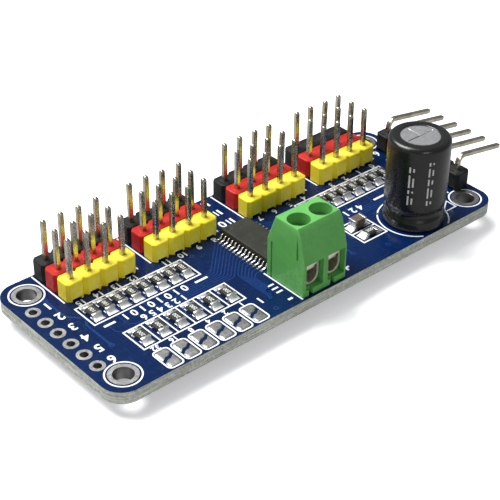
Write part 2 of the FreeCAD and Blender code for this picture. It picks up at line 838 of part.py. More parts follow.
def make_soldering(label, group):
    """Lands on the board, and the solder wedges that rise from them up the metal ends."""
    x, y, lengthwise, copies = group
    soldering = new_body(label, x, y)
    reach = "(land_gap + land_length) / 2"
    lands = both_ends(lengthwise, reach, "land_length", "land_width")
    add_blocks(soldering, lands, "0", "land_thickness")
    wedge = new_sketch(soldering, "XZ_Plane" if lengthwise == "x" else "YZ_Plane")
    for side in (-1, 1):
        face = f"{side} * small_length / 2"
        polygon(wedge, [
            (face, "land_thickness"),
            (f"{face} + {side} * fillet_length", "land_thickness"),
            (face, "land_thickness + fillet_height"),
        ])
    pad(soldering, wedge, "small_width", both_ways=True)
    doc.recompute()
    copy_rows(soldering, copies)


def make_chip_lands():
    lands = new_body("chip_lands", "chip_long", "chip_wide - lead_step * (chip_leads - 1) / 2")
    reach = "lead_span / 2 - chip_land_inset"
    pair = both_ends("x", reach, "chip_land_length", "chip_land_width")
    add_blocks(lands, pair, "0", "land_thickness")
    copy_rows(lands, [("YZ_Plane", "chip_leads", "lead_step", None)])


def make_jumper_pads():
    """Pairs of bare lands that a blob of solder would bridge, to set the board's address."""
    pads = new_body("address_jumper_pads", "address_first", "jumper_wide")
    half = "(jumper_length - jumper_gap) / 2"
    pair = both_ends("y", f"({half} + jumper_gap) / 2", half, "jumper_width")
    plates = add_blocks(pads, pair, "0", "land_thickness")
    rounded = pads.newObject("PartDesign::Fillet", "jumper_corners")
    rounded.Base = (plates, edges_where(plates, lambda box: box.ZLength > SHORTEST_EDGE))
    rounded.setExpression("Radius", "Sizes.jumper_corner")
    pads.Tip = rounded
    doc.recompute()
    copy_rows(pads, [("XY_Plane", "address_count", "pitch", None)])


# ---- the assembly

make_board()
make_plating("mounting_hole_plating", mount_spots, "mount_hole", "mount_pad")
make_plating("side_hole_plating", [(left_row, y) for y in side_rows], "side_hole", "side_pad")

for group, start in enumerate(group_starts, start=1):
    for name, row_y in rows:
        make_strip(f"{name}_strip_{group}", start, row_y, "group_positions")
        make_pins(f"{name}_pins_{group}", start, row_y, sizes["group_positions"])
group_grid = ("XY_Plane", "group_positions", "pitch", ("V_Axis", "pin_rows", "pitch"))
all_groups = ("XY_Plane", "2", "group_step", ("H_Axis", "2", "group_step + group_gap"))
pin_joint = ("solder_ring", "solder_neck", "pin_drill", square_core)
make_solder("header_solder_joints", group_starts[0], "signal_row", *pin_joint, (group_grid, all_groups))

make_strip("angle_header_housing", right_row, row_start, "side_count", along_y=True)
make_angle_pins()
side_row = ("YZ_Plane", "side_count", "pitch", None)
make_solder("angle_header_solder_joints", right_row, row_start, *pin_joint, (side_row,))

make_terminal_housing()
for count, pole in enumerate(poles, start=1):
    make_terminal_screw(f"terminal_screw_{count}", pole, f"slot_angle_{count}")
    make_terminal_cage(f"terminal_cage_{count}", pole)
make_terminal_contacts()
contact_joint = ("contact_ring", "contact_neck", "contact_drill", contact_core)
pole_row = ("XY_Plane", "pole_count", "terminal_pole", None)
make_solder("terminal_solder_joints", poles[0], "contact_leg", *contact_joint, (pole_row,))

make_capacitor()
lead_joint = ("solder_ring", "lead_neck", "lead_drill", lead_core)
lead_row = ("XY_Plane", "lead_count", "lead_pitch", None)
first_lead = "capacitor_long - lead_pitch / 2"
make_solder("capacitor_solder_joints", first_lead, "capacitor_wide", *lead_joint, (lead_row,))

make_chip()
make_chip_lands()
make_small_bodies("series_resistor_bodies", series_group, "small_height")
make_small_ends("series_resistor_ends", series_group, "small_height")
make_soldering("series_soldering", series_group)
make_small_bodies("address_resistor_bodies", address_group, "small_height")
make_small_ends("address_resistor_ends", address_group, "small_height")
make_soldering("address_soldering", address_group)
make_jumper_pads()
make_small_bodies("dropper_resistor_body", dropper, "small_height")
make_small_bodies("ceramic_capacitor_body", ceramic, "ceramic_height")
make_corner_ends()
make_soldering("corner_soldering", corner_group)

doc.recompute()
for part in doc.Objects:
    if "Invalid" in part.State or "Error" in part.State:
        raise RuntimeError(f"{part.Label}: {part.State}")
nodes = [part for part in doc.Objects if part.TypeId == "PartDesign::Body"]
for node in nodes:
    if node.Shape.isNull() or not node.Shape.isValid():
        raise RuntimeError(f"{node.Label} has no valid shape")

os.makedirs("parts", exist_ok=True)
for node in nodes:
    node.Shape.exportStep(f"parts/{node.Label}.step")
    print(f"{node.Label}: {len(node.Shape.Solids)} solids, {node.Shape.Volume:.2f} mm3")
print(f"{len(nodes)} nodes")
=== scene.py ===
import json
import math
import random

import bmesh
import bpy
from mathutils import Matrix, Quaternion, Vector


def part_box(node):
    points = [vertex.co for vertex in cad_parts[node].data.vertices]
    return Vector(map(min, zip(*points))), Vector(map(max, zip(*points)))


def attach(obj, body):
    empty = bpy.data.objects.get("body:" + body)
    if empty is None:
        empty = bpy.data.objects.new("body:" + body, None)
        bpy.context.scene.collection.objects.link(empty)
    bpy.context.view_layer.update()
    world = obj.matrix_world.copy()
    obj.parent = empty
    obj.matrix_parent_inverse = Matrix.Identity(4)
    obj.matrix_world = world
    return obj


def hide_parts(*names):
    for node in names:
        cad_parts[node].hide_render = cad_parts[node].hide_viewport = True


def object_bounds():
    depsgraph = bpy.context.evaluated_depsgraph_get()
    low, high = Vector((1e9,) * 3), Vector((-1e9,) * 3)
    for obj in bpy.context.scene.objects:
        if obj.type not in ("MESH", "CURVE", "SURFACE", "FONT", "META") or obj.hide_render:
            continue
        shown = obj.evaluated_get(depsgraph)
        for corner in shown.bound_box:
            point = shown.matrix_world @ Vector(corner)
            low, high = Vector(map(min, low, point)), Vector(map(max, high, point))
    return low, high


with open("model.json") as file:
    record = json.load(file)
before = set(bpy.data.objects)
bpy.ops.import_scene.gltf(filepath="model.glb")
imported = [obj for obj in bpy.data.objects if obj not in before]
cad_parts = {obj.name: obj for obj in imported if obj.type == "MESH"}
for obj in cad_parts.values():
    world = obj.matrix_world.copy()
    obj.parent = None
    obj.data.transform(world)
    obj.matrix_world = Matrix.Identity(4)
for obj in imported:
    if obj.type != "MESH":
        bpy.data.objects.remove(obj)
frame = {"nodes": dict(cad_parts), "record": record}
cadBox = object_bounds()
record = frame["record"]
slotOf = {part["node"]: part["material_slot"] for part in record["subparts"]}
bodyOf = {node: body for body, nodes in record["behaviour"]["bodies"].items() for node in nodes}
metre = 0.001  # meshes are made in millimetres and shrunk once, when a piece is finished
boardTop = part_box("circuit_board")[1][2] / metre
pinPitch = 2.54
groups = (1, 2, 3, 4)
rows = ("signal", "power", "ground")
print("frame loaded")


# camera first, then floor and light
view = {
    "place": (-93.43, -104.17, 96.61),
    "aim": (-1.011, 0.323, 0.975),
    "roll": 0.72,
    "lens": 97.61,
}
cameraData = bpy.data.cameras.new("studioCamera")
cameraData.lens = view["lens"]
cameraData.sensor_width = 36
cameraData.clip_start = 0.005
cameraData.clip_end = 20
camera = bpy.data.objects.new("studioCamera", cameraData)
bpy.context.collection.objects.link(camera)
look = Vector(view["aim"]) - Vector(view["place"])
turned = look.to_track_quat("-Z", "Y") @ Quaternion((0, 0, 1), math.radians(view["roll"]))
camera.matrix_world = Matrix.Translation(Vector(view["place"]) * metre) @ turned.to_matrix().to_4x4()
bpy.context.scene.camera = camera

studio = {
    "floorSize": 2.4,
    "floorColor": (0.93, 0.93, 0.93, 1),
    "floorTint": (0.9, 0.9, 0.9, 1),
    "floorBounce": (0.4, 0.4, 0.4),
    "floorGlow": 0.4,
    "skyColor": (0.93, 0.96, 1.0, 1),
    "skyStrength": 0.26,
    # name, place and aim in millimetres, width, height, watts
    "lamps": (
        ("overheadBox", (-70, 200, 390), (0, 0, 0), 320, 240, 3.5),
        ("leftBox", (-330, 60, 250), (0, 0, 0), 160, 120, 0.08),
        ("frontBox", (-130, -350, 200), (0, 0, 5), 110, 90, 0.26),
    ),
}
bpy.context.scene.view_settings.view_transform = "Standard"


def makeLamp(name, place, aim, width, height, watts):
    data = bpy.data.lights.new(name, "AREA")
    data.shape = "RECTANGLE"
    data.size = width * metre
    data.size_y = height * metre
    data.energy = watts
    lamp = bpy.data.objects.new(name, data)
    bpy.context.collection.objects.link(lamp)
    lamp.location = Vector(place) * metre
    lamp.rotation_euler = (Vector(aim) - Vector(place)).to_track_quat("-Z", "Y").to_euler()


for lamp in studio["lamps"]:
    makeLamp(*lamp)
world = bpy.data.worlds.new("studioSky")
world.use_nodes = True
world.node_tree.nodes["Background"].inputs[0].default_value = studio["skyColor"]
world.node_tree.nodes["Background"].inputs[1].default_value = studio["skyStrength"]
bpy.context.scene.world = world
print("camera and light ready")


# shader helpers
def addNode(tree, kind, values=None, **settings):
    made = tree.nodes.new(kind)
    for key, value in settings.items():
        setattr(made, key, value)
    for key, value in (values or {}).items():
        target = made.inputs[key]
        if isinstance(value, bpy.types.NodeSocket):
            tree.links.new(value, target)
        else:
            target.default_value = value
    return made


def ramp(tree, factor, stops):
    made = addNode(tree, "ShaderNodeValToRGB", {"Fac": factor})
    points = made.color_ramp.elements
    while len(points) < len(stops):
        points.new(0.5)
    for point, (place, color) in zip(points, stops):
        point.position = place
        point.color = (*color, 1)
    return made.outputs["Color"]


def mixColor(tree, factor, first, second):
    made = tree.nodes.new("ShaderNodeMix")
    made.data_type = "RGBA"
    for index, value in ((0, factor), (6, first), (7, second)):
        if isinstance(value, bpy.types.NodeSocket):
            tree.links.new(value, made.inputs[index])
        else:
            made.inputs[index].default_value = value if index == 0 else (*value[:3], 1)
    return made.outputs[2]


def calc(tree, operation, first, second=0.5, clamp=False):
    made = addNode(tree, "ShaderNodeMath", {0: first, 1: second}, operation=operation)
    made.use_clamp = clamp
    return made.outputs[0]


# gives back the group, the sockets of what it is given and the sockets of what is taken from it
def newGroup(name, inputs, outputs):
    group = bpy.data.node_groups.new(name, "ShaderNodeTree")
    for label, kind, value in inputs:
        socket = group.interface.new_socket(label, in_out="INPUT", socket_type=kind)
        socket.default_value = value
    for label, kind in outputs:
        group.interface.new_socket(label, in_out="OUTPUT", socket_type=kind)
    return group, group.nodes.new("NodeGroupInput").outputs, group.nodes.new("NodeGroupOutput").inputs


def useGroup(tree, group, **values):
    made = tree.nodes.new("ShaderNodeGroup")
    made.node_tree = group
    for key, value in values.items():
        if isinstance(value, bpy.types.NodeSocket):
            tree.links.new(value, made.inputs[key])
        else:
            made.inputs[key].default_value = value
    return made.outputs


floatIn, colorIn = "NodeSocketFloat", "NodeSocketColor"

# convex edges painted lighter, from the mesh's own convex corners: partly wear, partly a painted highlight
edgeWearAndHighlight, given, taken = newGroup(
    "edgeWearAndHighlight", (("Start", floatIn, 0.52), ("End", floatIn, 0.6), ("Amount", floatIn, 1.0)),
    (("Mask", floatIn),))
sharpness = addNode(edgeWearAndHighlight, "ShaderNodeNewGeometry").outputs["Pointiness"]
convexEdges = addNode(edgeWearAndHighlight, "ShaderNodeMapRange", {0: sharpness, 1: given["Start"], 2: given["End"]}).outputs[0]
patchy = addNode(edgeWearAndHighlight, "ShaderNodeTexNoise", {
    "Vector": addNode(edgeWearAndHighlight, "ShaderNodeTexCoord").outputs["Object"], "Scale": 2400.0, "Detail": 3.0})
broken = calc(edgeWearAndHighlight, "MULTIPLY", convexEdges, addNode(
    edgeWearAndHighlight, "ShaderNodeMapRange", {0: patchy.outputs["Fac"], 1: 0.3, 2: 0.62}).outputs[0])
edgeWearAndHighlight.links.new(calc(edgeWearAndHighlight, "MULTIPLY", broken, given["Amount"], True), taken["Mask"])

# fine grain: a height and a value between two limits
fineGrain, given, taken = newGroup(
    "fineGrain", (("Scale", floatIn, 6000.0), ("Low", floatIn, 0.3), ("High", floatIn, 0.5)),
    (("Value", floatIn), ("Height", floatIn)))
grainPlace = addNode(fineGrain, "ShaderNodeTexCoord").outputs["Object"]
grain = addNode(fineGrain, "ShaderNodeTexNoise", {
    "Vector": grainPlace, "Scale": given["Scale"], "Detail": 4.0, "Roughness": 0.6})
spread = addNode(fineGrain, "ShaderNodeMapRange", {
    0: grain.outputs["Fac"], 1: 0.3, 2: 0.7, 3: given["Low"], 4: given["High"]})
fineGrain.links.new(spread.outputs[0], taken["Value"])
fineGrain.links.new(grain.outputs["Fac"], taken["Height"])

# broad colour change from place to place
mottle, given, taken = newGroup(
    "mottle", (("Base", colorIn, (0.5, 0.5, 0.5, 1)), ("Tint", colorIn, (0.4, 0.4, 0.4, 1)),
               ("Scale", floatIn, 300.0), ("Amount", floatIn, 0.6)), (("Color", colorIn),))
cloud = addNode(mottle, "ShaderNodeTexNoise", {
    "Vector": addNode(mottle, "ShaderNodeTexCoord").outputs["Object"], "Scale": given["Scale"], "Detail": 5.0,
    "Roughness": 0.55})
cloudMask = addNode(mottle, "ShaderNodeMapRange", {0: cloud.outputs["Fac"], 1: 0.35, 2: 0.68}).outputs[0]
share = calc(mottle, "MULTIPLY", cloudMask, given["Amount"], True)
mottle.links.new(mixColor(mottle, share, given["Base"], given["Tint"]), taken["Color"])

# specks of dust, thicker on faces that look up
dust, given, taken = newGroup(
    "dust", (("Amount", floatIn, 0.3), ("Scale", floatIn, 900.0)), (("Mask", floatIn),))
upward = addNode(dust, "ShaderNodeSeparateXYZ", {0: addNode(dust, "ShaderNodeNewGeometry").outputs["Normal"]})
facing = addNode(dust, "ShaderNodeMapRange", {0: upward.outputs["Z"], 1: 0.2, 2: 0.9}).outputs[0]
speck = addNode(dust, "ShaderNodeTexNoise", {
    "Vector": addNode(dust, "ShaderNodeTexCoord").outputs["Object"], "Scale": given["Scale"], "Detail": 6.0,
    "Roughness": 0.75})
speckMask = addNode(dust, "ShaderNodeMapRange", {0: speck.outputs["Fac"], 1: 0.56, 2: 0.74}).outputs[0]
settled = calc(dust, "MULTIPLY", speckMask, facing)
dust.links.new(calc(dust, "MULTIPLY", settled, given["Amount"], True), taken["Mask"])


def newMaterial(name, **plain):
    made = bpy.data.materials.new(name)
    made.use_nodes = True
    tree = made.node_tree
    shader = tree.nodes["Principled BSDF"]
    for key, value in plain.items():
        shader.inputs[key.replace("_", " ")].default_value = value
    return made, tree, shader


def bumpFrom(tree, shader, height, strength, distance):
    bump = addNode(tree, "ShaderNodeBump", {"Strength": strength, "Distance": distance, "Height": height})
    tree.links.new(bump.outputs["Normal"], shader.inputs["Normal"])


# one recipe for moulded plastic, and one for bare metal; each call has its own colours and grain
def mouldedPlastic(name, base, tint, edge, rough, grainScale=5200.0, bump=0.12, dusty=0.08, **plain):
    made, tree, shader = newMaterial(name, **plain)
    color = useGroup(tree, mottle, Base=(*base, 1), Tint=(*tint, 1), Scale=420.0, Amount=0.75)["Color"]
    grainOut = useGroup(tree, fineGrain, Scale=grainScale, Low=rough[0], High=rough[1])
    # lighter convex edges: partly wear, partly a painted highlight
    wearAndHighlightMask = useGroup(tree, edgeWearAndHighlight, Start=0.53, End=0.64, Amount=0.5)["Mask"]
    color = mixColor(tree, wearAndHighlightMask, color, edge)
    specks = useGroup(tree, dust, Amount=dusty, Scale=1500.0)["Mask"]
    color = mixColor(tree, specks, color, (0.75, 0.74, 0.7))
    tree.links.new(color, shader.inputs["Base Color"])
    tree.links.new(grainOut["Value"], shader.inputs["Roughness"])
    bumpFrom(tree, shader, grainOut["Height"], bump, distance=0.00004)
    return made


def bareMetal(name, base, tint, rough, grainScale=3600.0, bump=0.1, stretch=None):
    made, tree, shader = newMaterial(name, Metallic=1.0)
    mixed = useGroup(tree, mottle, Base=(*base, 1), Tint=(*tint, 1), Scale=900.0, Amount=0.85)
    grainOut = useGroup(tree, fineGrain, Scale=grainScale, Low=rough[0], High=rough[1])
    # brighter convex edges: partly wear, partly a painted highlight
    wearAndHighlightMask = useGroup(tree, edgeWearAndHighlight, Start=0.52, End=0.62, Amount=0.4)["Mask"]
    color = mixColor(tree, wearAndHighlightMask, mixed["Color"], [min(1.0, part * 1.25) for part in base])
    tree.links.new(color, shader.inputs["Base Color"])
    tree.links.new(grainOut["Value"], shader.inputs["Roughness"])
    height = grainOut["Height"]
    if stretch:  # drawn lines along one axis
        place = addNode(tree, "ShaderNodeTexCoord").outputs["Object"]
        drawn = addNode(tree, "ShaderNodeMapping", {"Vector": place, "Scale": stretch}).outputs[0]
        lines = addNode(tree, "ShaderNodeTexNoise", {"Vector": drawn, "Scale": 1.0, "Detail": 4.0})
        height = calc(tree, "ADD", lines.outputs["Fac"], height)
    bumpFrom(tree, shader, height, bump, distance=0.00003)
    return made


# each plastic's third colour is for its convex edges: wear and a painted highlight
finish = {
    "yellow_plastic": mouldedPlastic(
        "yellowPlastic", (0.93, 0.77, 0.035), (0.86, 0.66, 0.02), (0.97, 0.88, 0.2), rough=(0.34, 0.5),
        Specular_IOR_Level=0.35),
    "red_plastic": mouldedPlastic(
        "redPlastic", (0.52, 0.016, 0.01), (0.42, 0.011, 0.008), (0.68, 0.06, 0.04), rough=(0.34, 0.5),
        Specular_IOR_Level=0.3),
    "black_plastic": mouldedPlastic(
        "blackPlastic", (0.009, 0.01, 0.01), (0.015, 0.016, 0.016), (0.045, 0.045, 0.042), rough=(0.36, 0.54),
        dusty=0.03, Specular_IOR_Level=0.2),
    "green_plastic": mouldedPlastic(
        "greenPlastic", (0.12, 0.42, 0.095), (0.09, 0.35, 0.075), (0.22, 0.56, 0.19), rough=(0.4, 0.56),
        grainScale=4200.0, bump=0.16, Subsurface_Weight=0.12, Subsurface_Scale=0.0006,
        Subsurface_Radius=(0.4, 1.0, 0.4), Specular_IOR_Level=0.3),
    "chip_mould": mouldedPlastic(
        "chipMould", (0.016, 0.017, 0.012), (0.026, 0.028, 0.02), (0.06, 0.06, 0.05), rough=(0.42, 0.6),
        grainScale=9000.0, bump=0.3, dusty=0.04, Specular_IOR_Level=0.3),
    "resistor_body": mouldedPlastic(
        "resistorGlaze", (0.018, 0.018, 0.014), (0.03, 0.03, 0.024), (0.07, 0.07, 0.06), rough=(0.3, 0.42),
        grainScale=7000.0, dusty=0.04, Specular_IOR_Level=0.4),
    "ceramic_brown": mouldedPlastic(
        "brownCeramic", (0.1, 0.066, 0.04), (0.06, 0.04, 0.024), (0.24, 0.17, 0.11), rough=(0.4, 0.58),
        grainScale=8000.0, bump=0.25),
    "bung_rubber": mouldedPlastic(
        "bungRubber", (0.03, 0.028, 0.026), (0.05, 0.047, 0.043), (0.1, 0.1, 0.1), rough=(0.6, 0.8),
        grainScale=7000.0, bump=0.4),
    "sleeve_film": mouldedPlastic(
        "sleeveFilm", (0.006, 0.007, 0.006), (0.01, 0.011, 0.01), (0.04, 0.04, 0.04), rough=(0.24, 0.34),
        grainScale=1400.0, bump=0.1, dusty=0.03, Specular_IOR_Level=0.42, Coat_Weight=0.12,
        Coat_Roughness=0.12),
    "tinned_copper": bareMetal(
        "tinnedCopper", (0.46, 0.46, 0.45), (0.3, 0.3, 0.3), rough=(0.26, 0.42), bump=0.2),
    "bright_pins": bareMetal(
        "brightPins", (0.6, 0.56, 0.47), (0.3, 0.265, 0.19), rough=(0.18, 0.34), bump=0.04,
        stretch=(9000.0, 9000.0, 500.0)),
    "solder": bareMetal(
        "solder", (0.92, 0.92, 0.92), (0.72, 0.72, 0.71), rough=(0.34, 0.56), grainScale=2600.0, bump=0.25),
    "screw_steel": bareMetal(
        "screwSteel", (0.62, 0.61, 0.58), (0.47, 0.46, 0.43), rough=(0.24, 0.4), bump=0.25),
    "plated_brass": bareMetal(
        "platedBrass", (0.84, 0.8, 0.68), (0.72, 0.67, 0.54), rough=(0.38, 0.55), bump=0.2),
    "capacitor_aluminium": bareMetal(
        "capacitorAluminium", (0.76, 0.77, 0.76), (0.64, 0.65, 0.65), rough=(0.3, 0.44),
        stretch=(5200.0, 700.0, 700.0), bump=0.12),
    "wound_foil": bareMetal("woundFoil", (0.5, 0.48, 0.42), (0.4, 0.37, 0.3), rough=(0.4, 0.6)),
    "end_metal": bareMetal(
        "endMetal", (0.72, 0.72, 0.71), (0.58, 0.58, 0.57), rough=(0.22, 0.38), bump=0.3),
}

# the board: lacquer on its two faces, sawn glass laminate on its edge and in its holes
lacquer = {
    "deep": (0.0003, 0.0098, 0.054),
    "lifted": (0.0008, 0.015, 0.074),
    "weave": (0.003, 0.024, 0.1),
    "laminate": (0.5, 0.52, 0.45),
    "laminateDark": (0.36, 0.38, 0.31),
    "laminateSpeck": (0.78, 0.8, 0.76),
    "laminatePit": (0.2, 0.21, 0.15),
}
boardBlue, tree, shader = newMaterial("boardBlue", Specular_IOR_Level=0.16, Coat_Roughness=0.08, Coat_IOR=1.5)
place = addNode(tree, "ShaderNodeTexCoord").outputs["Object"]
normal = addNode(tree, "ShaderNodeSeparateXYZ", {0: addNode(tree, "ShaderNodeNewGeometry").outputs["Normal"]})
onFace = addNode(tree, "ShaderNodeMapRange", {
    0: calc(tree, "ABSOLUTE", normal.outputs["Z"]), 1: 0.55, 2: 0.75}).outputs[0]
blueMix = useGroup(
    tree, mottle, Base=(*lacquer["deep"], 1), Tint=(*lacquer["lifted"], 1), Scale=150.0, Amount=0.9)
weaveX = addNode(tree, "ShaderNodeTexWave", {
    "Vector": place, "Scale": 520.0, "Distortion": 1.5, "Detail": 2.0})
weaveY = addNode(tree, "ShaderNodeTexWave", {
    "Vector": place, "Scale": 480.0, "Distortion": 1.5, "Detail": 2.0}, bands_direction="Y")
weave = calc(tree, "MULTIPLY", weaveX.outputs["Fac"], weaveY.outputs["Fac"])
faceColor = mixColor(tree, calc(tree, "MULTIPLY", weave, 0.16), blueMix["Color"], lacquer["weave"])
specks = useGroup(tree, dust, Amount=0.05, Scale=1300.0)["Mask"]
faceColor = mixColor(tree, specks, faceColor, (0.3, 0.34, 0.4))
layered = addNode(tree, "ShaderNodeMapping", {"Vector": place, "Scale": (160.0, 160.0, 5200.0)}).outputs[0]
layers = addNode(tree, "ShaderNodeTexNoise", {
    "Vector": layered, "Scale": 1.0, "Detail": 4.0, "Roughness": 0.7})
speck = addNode(tree, "ShaderNodeTexNoise", {
    "Vector": place, "Scale": 2300.0, "Detail": 5.0, "Roughness": 0.85})
edgeColor = ramp(tree, layers.outputs["Fac"], (
    (0.36, lacquer["laminateDark"]), (0.5, lacquer["laminate"]), (0.66, lacquer["laminateSpeck"])))
chipped = addNode(tree, "ShaderNodeMapRange", {0: speck.outputs["Fac"], 1: 0.52, 2: 0.66}).outputs[0]
pitted = addNode(tree, "ShaderNodeMapRange", {0: speck.outputs["Fac"], 1: 0.44, 2: 0.34}).outputs[0]
edgeColor = mixColor(tree, chipped, edgeColor, lacquer["laminateSpeck"])
edgeColor = mixColor(tree, pitted, edgeColor, lacquer["laminatePit"])
tree.links.new(mixColor(tree, onFace, edgeColor, faceColor), shader.inputs["Base Color"])
faceRough = useGroup(tree, fineGrain, Scale=700.0, Low=0.2, High=0.3)["Value"]
roughMix = addNode(tree, "ShaderNodeMapRange", {0: onFace, 3: 0.75, 4: faceRough}).outputs[0]
tree.links.new(roughMix, shader.inputs["Roughness"])
tree.links.new(calc(tree, "MULTIPLY", onFace, 0.09), shader.inputs["Coat Weight"])
sawn = calc(tree, "MULTIPLY", speck.outputs["Fac"], calc(tree, "SUBTRACT", 1.0, onFace))
relief = calc(tree, "ADD", calc(tree, "MULTIPLY", weave, 0.12), sawn)
bumpFrom(tree, shader, relief, 0.35, distance=0.00006)
finish["board_blue"] = boardBlue


def overBoard(name, base, tint, rough, coat):
    made, tree, shader = newMaterial(name, Specular_IOR_Level=0.3, Coat_Weight=coat, Coat_Roughness=0.08)
    color = useGroup(tree, mottle, Base=(*base, 1), Tint=(*tint, 1), Scale=800.0, Amount=0.9)["Color"]
    specks = useGroup(tree, dust, Amount=0.05, Scale=1300.0)["Mask"]
    tree.links.new(mixColor(tree, specks, color, (0.3, 0.34, 0.4)), shader.inputs["Base Color"])
    grainOut = useGroup(tree, fineGrain, Scale=4000.0, Low=rough[0], High=rough[1])
    tree.links.new(grainOut["Value"], shader.inputs["Roughness"])
    bumpFrom(tree, shader, grainOut["Height"], 0.1, distance=0.00003)
    return made


traceBlue = overBoard("traceBlue", (0.002, 0.026, 0.12), (0.003, 0.034, 0.15), (0.2, 0.3), 0.1)
legendWhite = overBoard("legendWhite", (0.84, 0.85, 0.86), (0.72, 0.74, 0.77), (0.45, 0.6), 0.0)
sleevePrint = overBoard("sleevePrint", (0.62, 0.64, 0.62), (0.5, 0.52, 0.5), (0.35, 0.5), 0.1)
print("materials ready")


# mesh helpers, all in millimetres
packed = {"weld": 0.002, "flat": 3}  # gap closed, and degrees below which an edge is dropped


def finishPiece(bm, name, material, nodes=(), sharp=38, weighted=True):
    bmesh.ops.recalc_face_normals(bm, faces=bm.faces)
    bmesh.ops.scale(bm, vec=(metre, metre, metre), verts=bm.verts)
    mesh = bpy.data.meshes.new(name)
    bm.to_mesh(mesh)
    bm.free()
    mesh.shade_smooth()
    mesh.set_sharp_from_angle(angle=math.radians(sharp))
    piece = bpy.data.objects.new(name, mesh)
    bpy.context.collection.objects.link(piece)
    mesh.materials.append(material)
    if weighted:
        normals = piece.modifiers.new("evenNormals", "WEIGHTED_NORMAL")
        normals.keep_sharp = True
    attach(piece, bodyOf[nodes[0]] if nodes else "board")
    if nodes:
        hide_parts(*nodes)


def cadMesh(node):
    bm = bmesh.new()
    bm.from_mesh(frame["nodes"][node].data)
    bmesh.ops.transform(bm, matrix=frame["nodes"][node].matrix_world, verts=bm.verts)
    bmesh.ops.scale(bm, vec=(1 / metre,) * 3, verts=bm.verts)
    bmesh.ops.remove_doubles(bm, verts=bm.verts, dist=packed["weld"])
    bmesh.ops.dissolve_limit(bm, angle_limit=math.radians(packed["flat"]), verts=bm.verts, edges=bm.edges)
    return bm


def bevelEdges(bm, width, segments=2, least=30, keep=None):  # least is the angle in degrees that counts
    edges = [edge for edge in bm.edges if len(edge.link_faces) == 2
             and edge.calc_face_angle(0) > math.radians(least) and (keep is None or keep(edge))]
    bmesh.ops.bevel(bm, geom=edges, offset=width, offset_type="OFFSET", segments=segments, profile=0.5,
                    affect="EDGES", clamp_overlap=True)


def refine(node, width, segments=2, least=30, keep=None):
    bm = cadMesh(node)
    bevelEdges(bm, width, segments, least, keep)
    finishPiece(bm, f"{node}_shaped", finish[slotOf[node]], (node,))


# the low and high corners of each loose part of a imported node
def islandBoxes(node):
    bm = cadMesh(node)
    waiting, boxes = set(bm.verts), []
    while waiting:
        stack = [waiting.pop()]
        found = []
        while stack:
            vert = stack.pop()
            found.append(vert.co.copy())
            for edge in vert.link_edges:
                other = edge.other_vert(vert)
                if other in waiting:
                    waiting.discard(other)
                    stack.append(other)
        boxes.append((Vector([min(co[k] for co in found) for k in range(3)]),
                      Vector([max(co[k] for co in found) for k in range(3)])))
    bm.free()
    return sorted(boxes, key=lambda pair: (round(pair[0].x, 2), round(pair[0].y, 2), pair[0].z))


# skins a row of rings; closed joins the last ring to the first, or else both ends are capped
def addRings(bm, rings, closed=False):
    made = [[bm.verts.new(co) for co in loop] for loop in rings]
    for lower, upper in zip(made, made[1:] + made[:1] if closed else made[1:]):
        count = len(lower)
        for index in range(count):
            following = (index + 1) % count
            bm.faces.new((lower[index], lower[following], upper[following], upper[index]))
    if not closed:
        bm.faces.new(made[0][::-1])
        bm.faces.new(made[-1])


def lathe(bm, profile, x, y, segments, wobble=None, closed=False):
    rings = []
    for radius, z in profile:
        loop = []
        for step in range(segments):
            angle = 2 * math.pi * step / segments
            reach = radius * (wobble(angle, z) if wobble else 1)
            loop.append((x + reach * math.cos(angle), y + reach * math.sin(angle), z))
        rings.append(loop)
    addRings(bm, rings, closed)


def ring(bm, x, y, inner, outer, low, high, segments):
    lathe(bm, ((inner, low), (outer, low), (outer, high), (inner, high)), x, y, segments, closed=True)


def direction(gap, other):  # of the gap, or the other one where the gap has no length
    return gap.normalized() if gap.length > 1e-6 else other


# a flat raised line through points
def ribbon(bm, points, width, low, high, closed=False):
    flat = [Vector(point[:2]) for point in points]
    count = len(flat)
    rings = []
    for index, point in enumerate(flat):
        before = flat[index - 1] if index or closed else point
        after = flat[(index + 1) % count] if index < count - 1 or closed else point
        ahead = direction(after - point, (point - before).normalized())
        behind = direction(point - before, ahead)
        along = direction(ahead + behind, ahead)
        side = Vector((-along.y, along.x))
        reach = width / 2 / max(0.5, side.dot(Vector((-ahead.y, ahead.x))))
        left, right = point + side * reach, point - side * reach
        rings.append([(left.x, left.y, low), (right.x, right.y, low),
                      (right.x, right.y, high), (left.x, left.y, high)])
    addRings(bm, rings, closed)


# a path with its corners rounded off
def softPath(points, radius, steps=4):
    path = [Vector(points[0])]
    for before, corner, after in zip(points, points[1:], points[2:]):
        before, corner, after = Vector(before), Vector(corner), Vector(after)
        cut = min(radius, (before - corner).length / 2, (after - corner).length / 2)
        start = corner + (before - corner).normalized() * cut
        end = corner + (after - corner).normalized() * cut
        for step in range(steps + 1):
            t = step / steps
            path.append((1 - t) ** 2 * start + 2 * t * (1 - t) * corner + t * t * end)
    path.append(Vector(points[-1]))
    return path


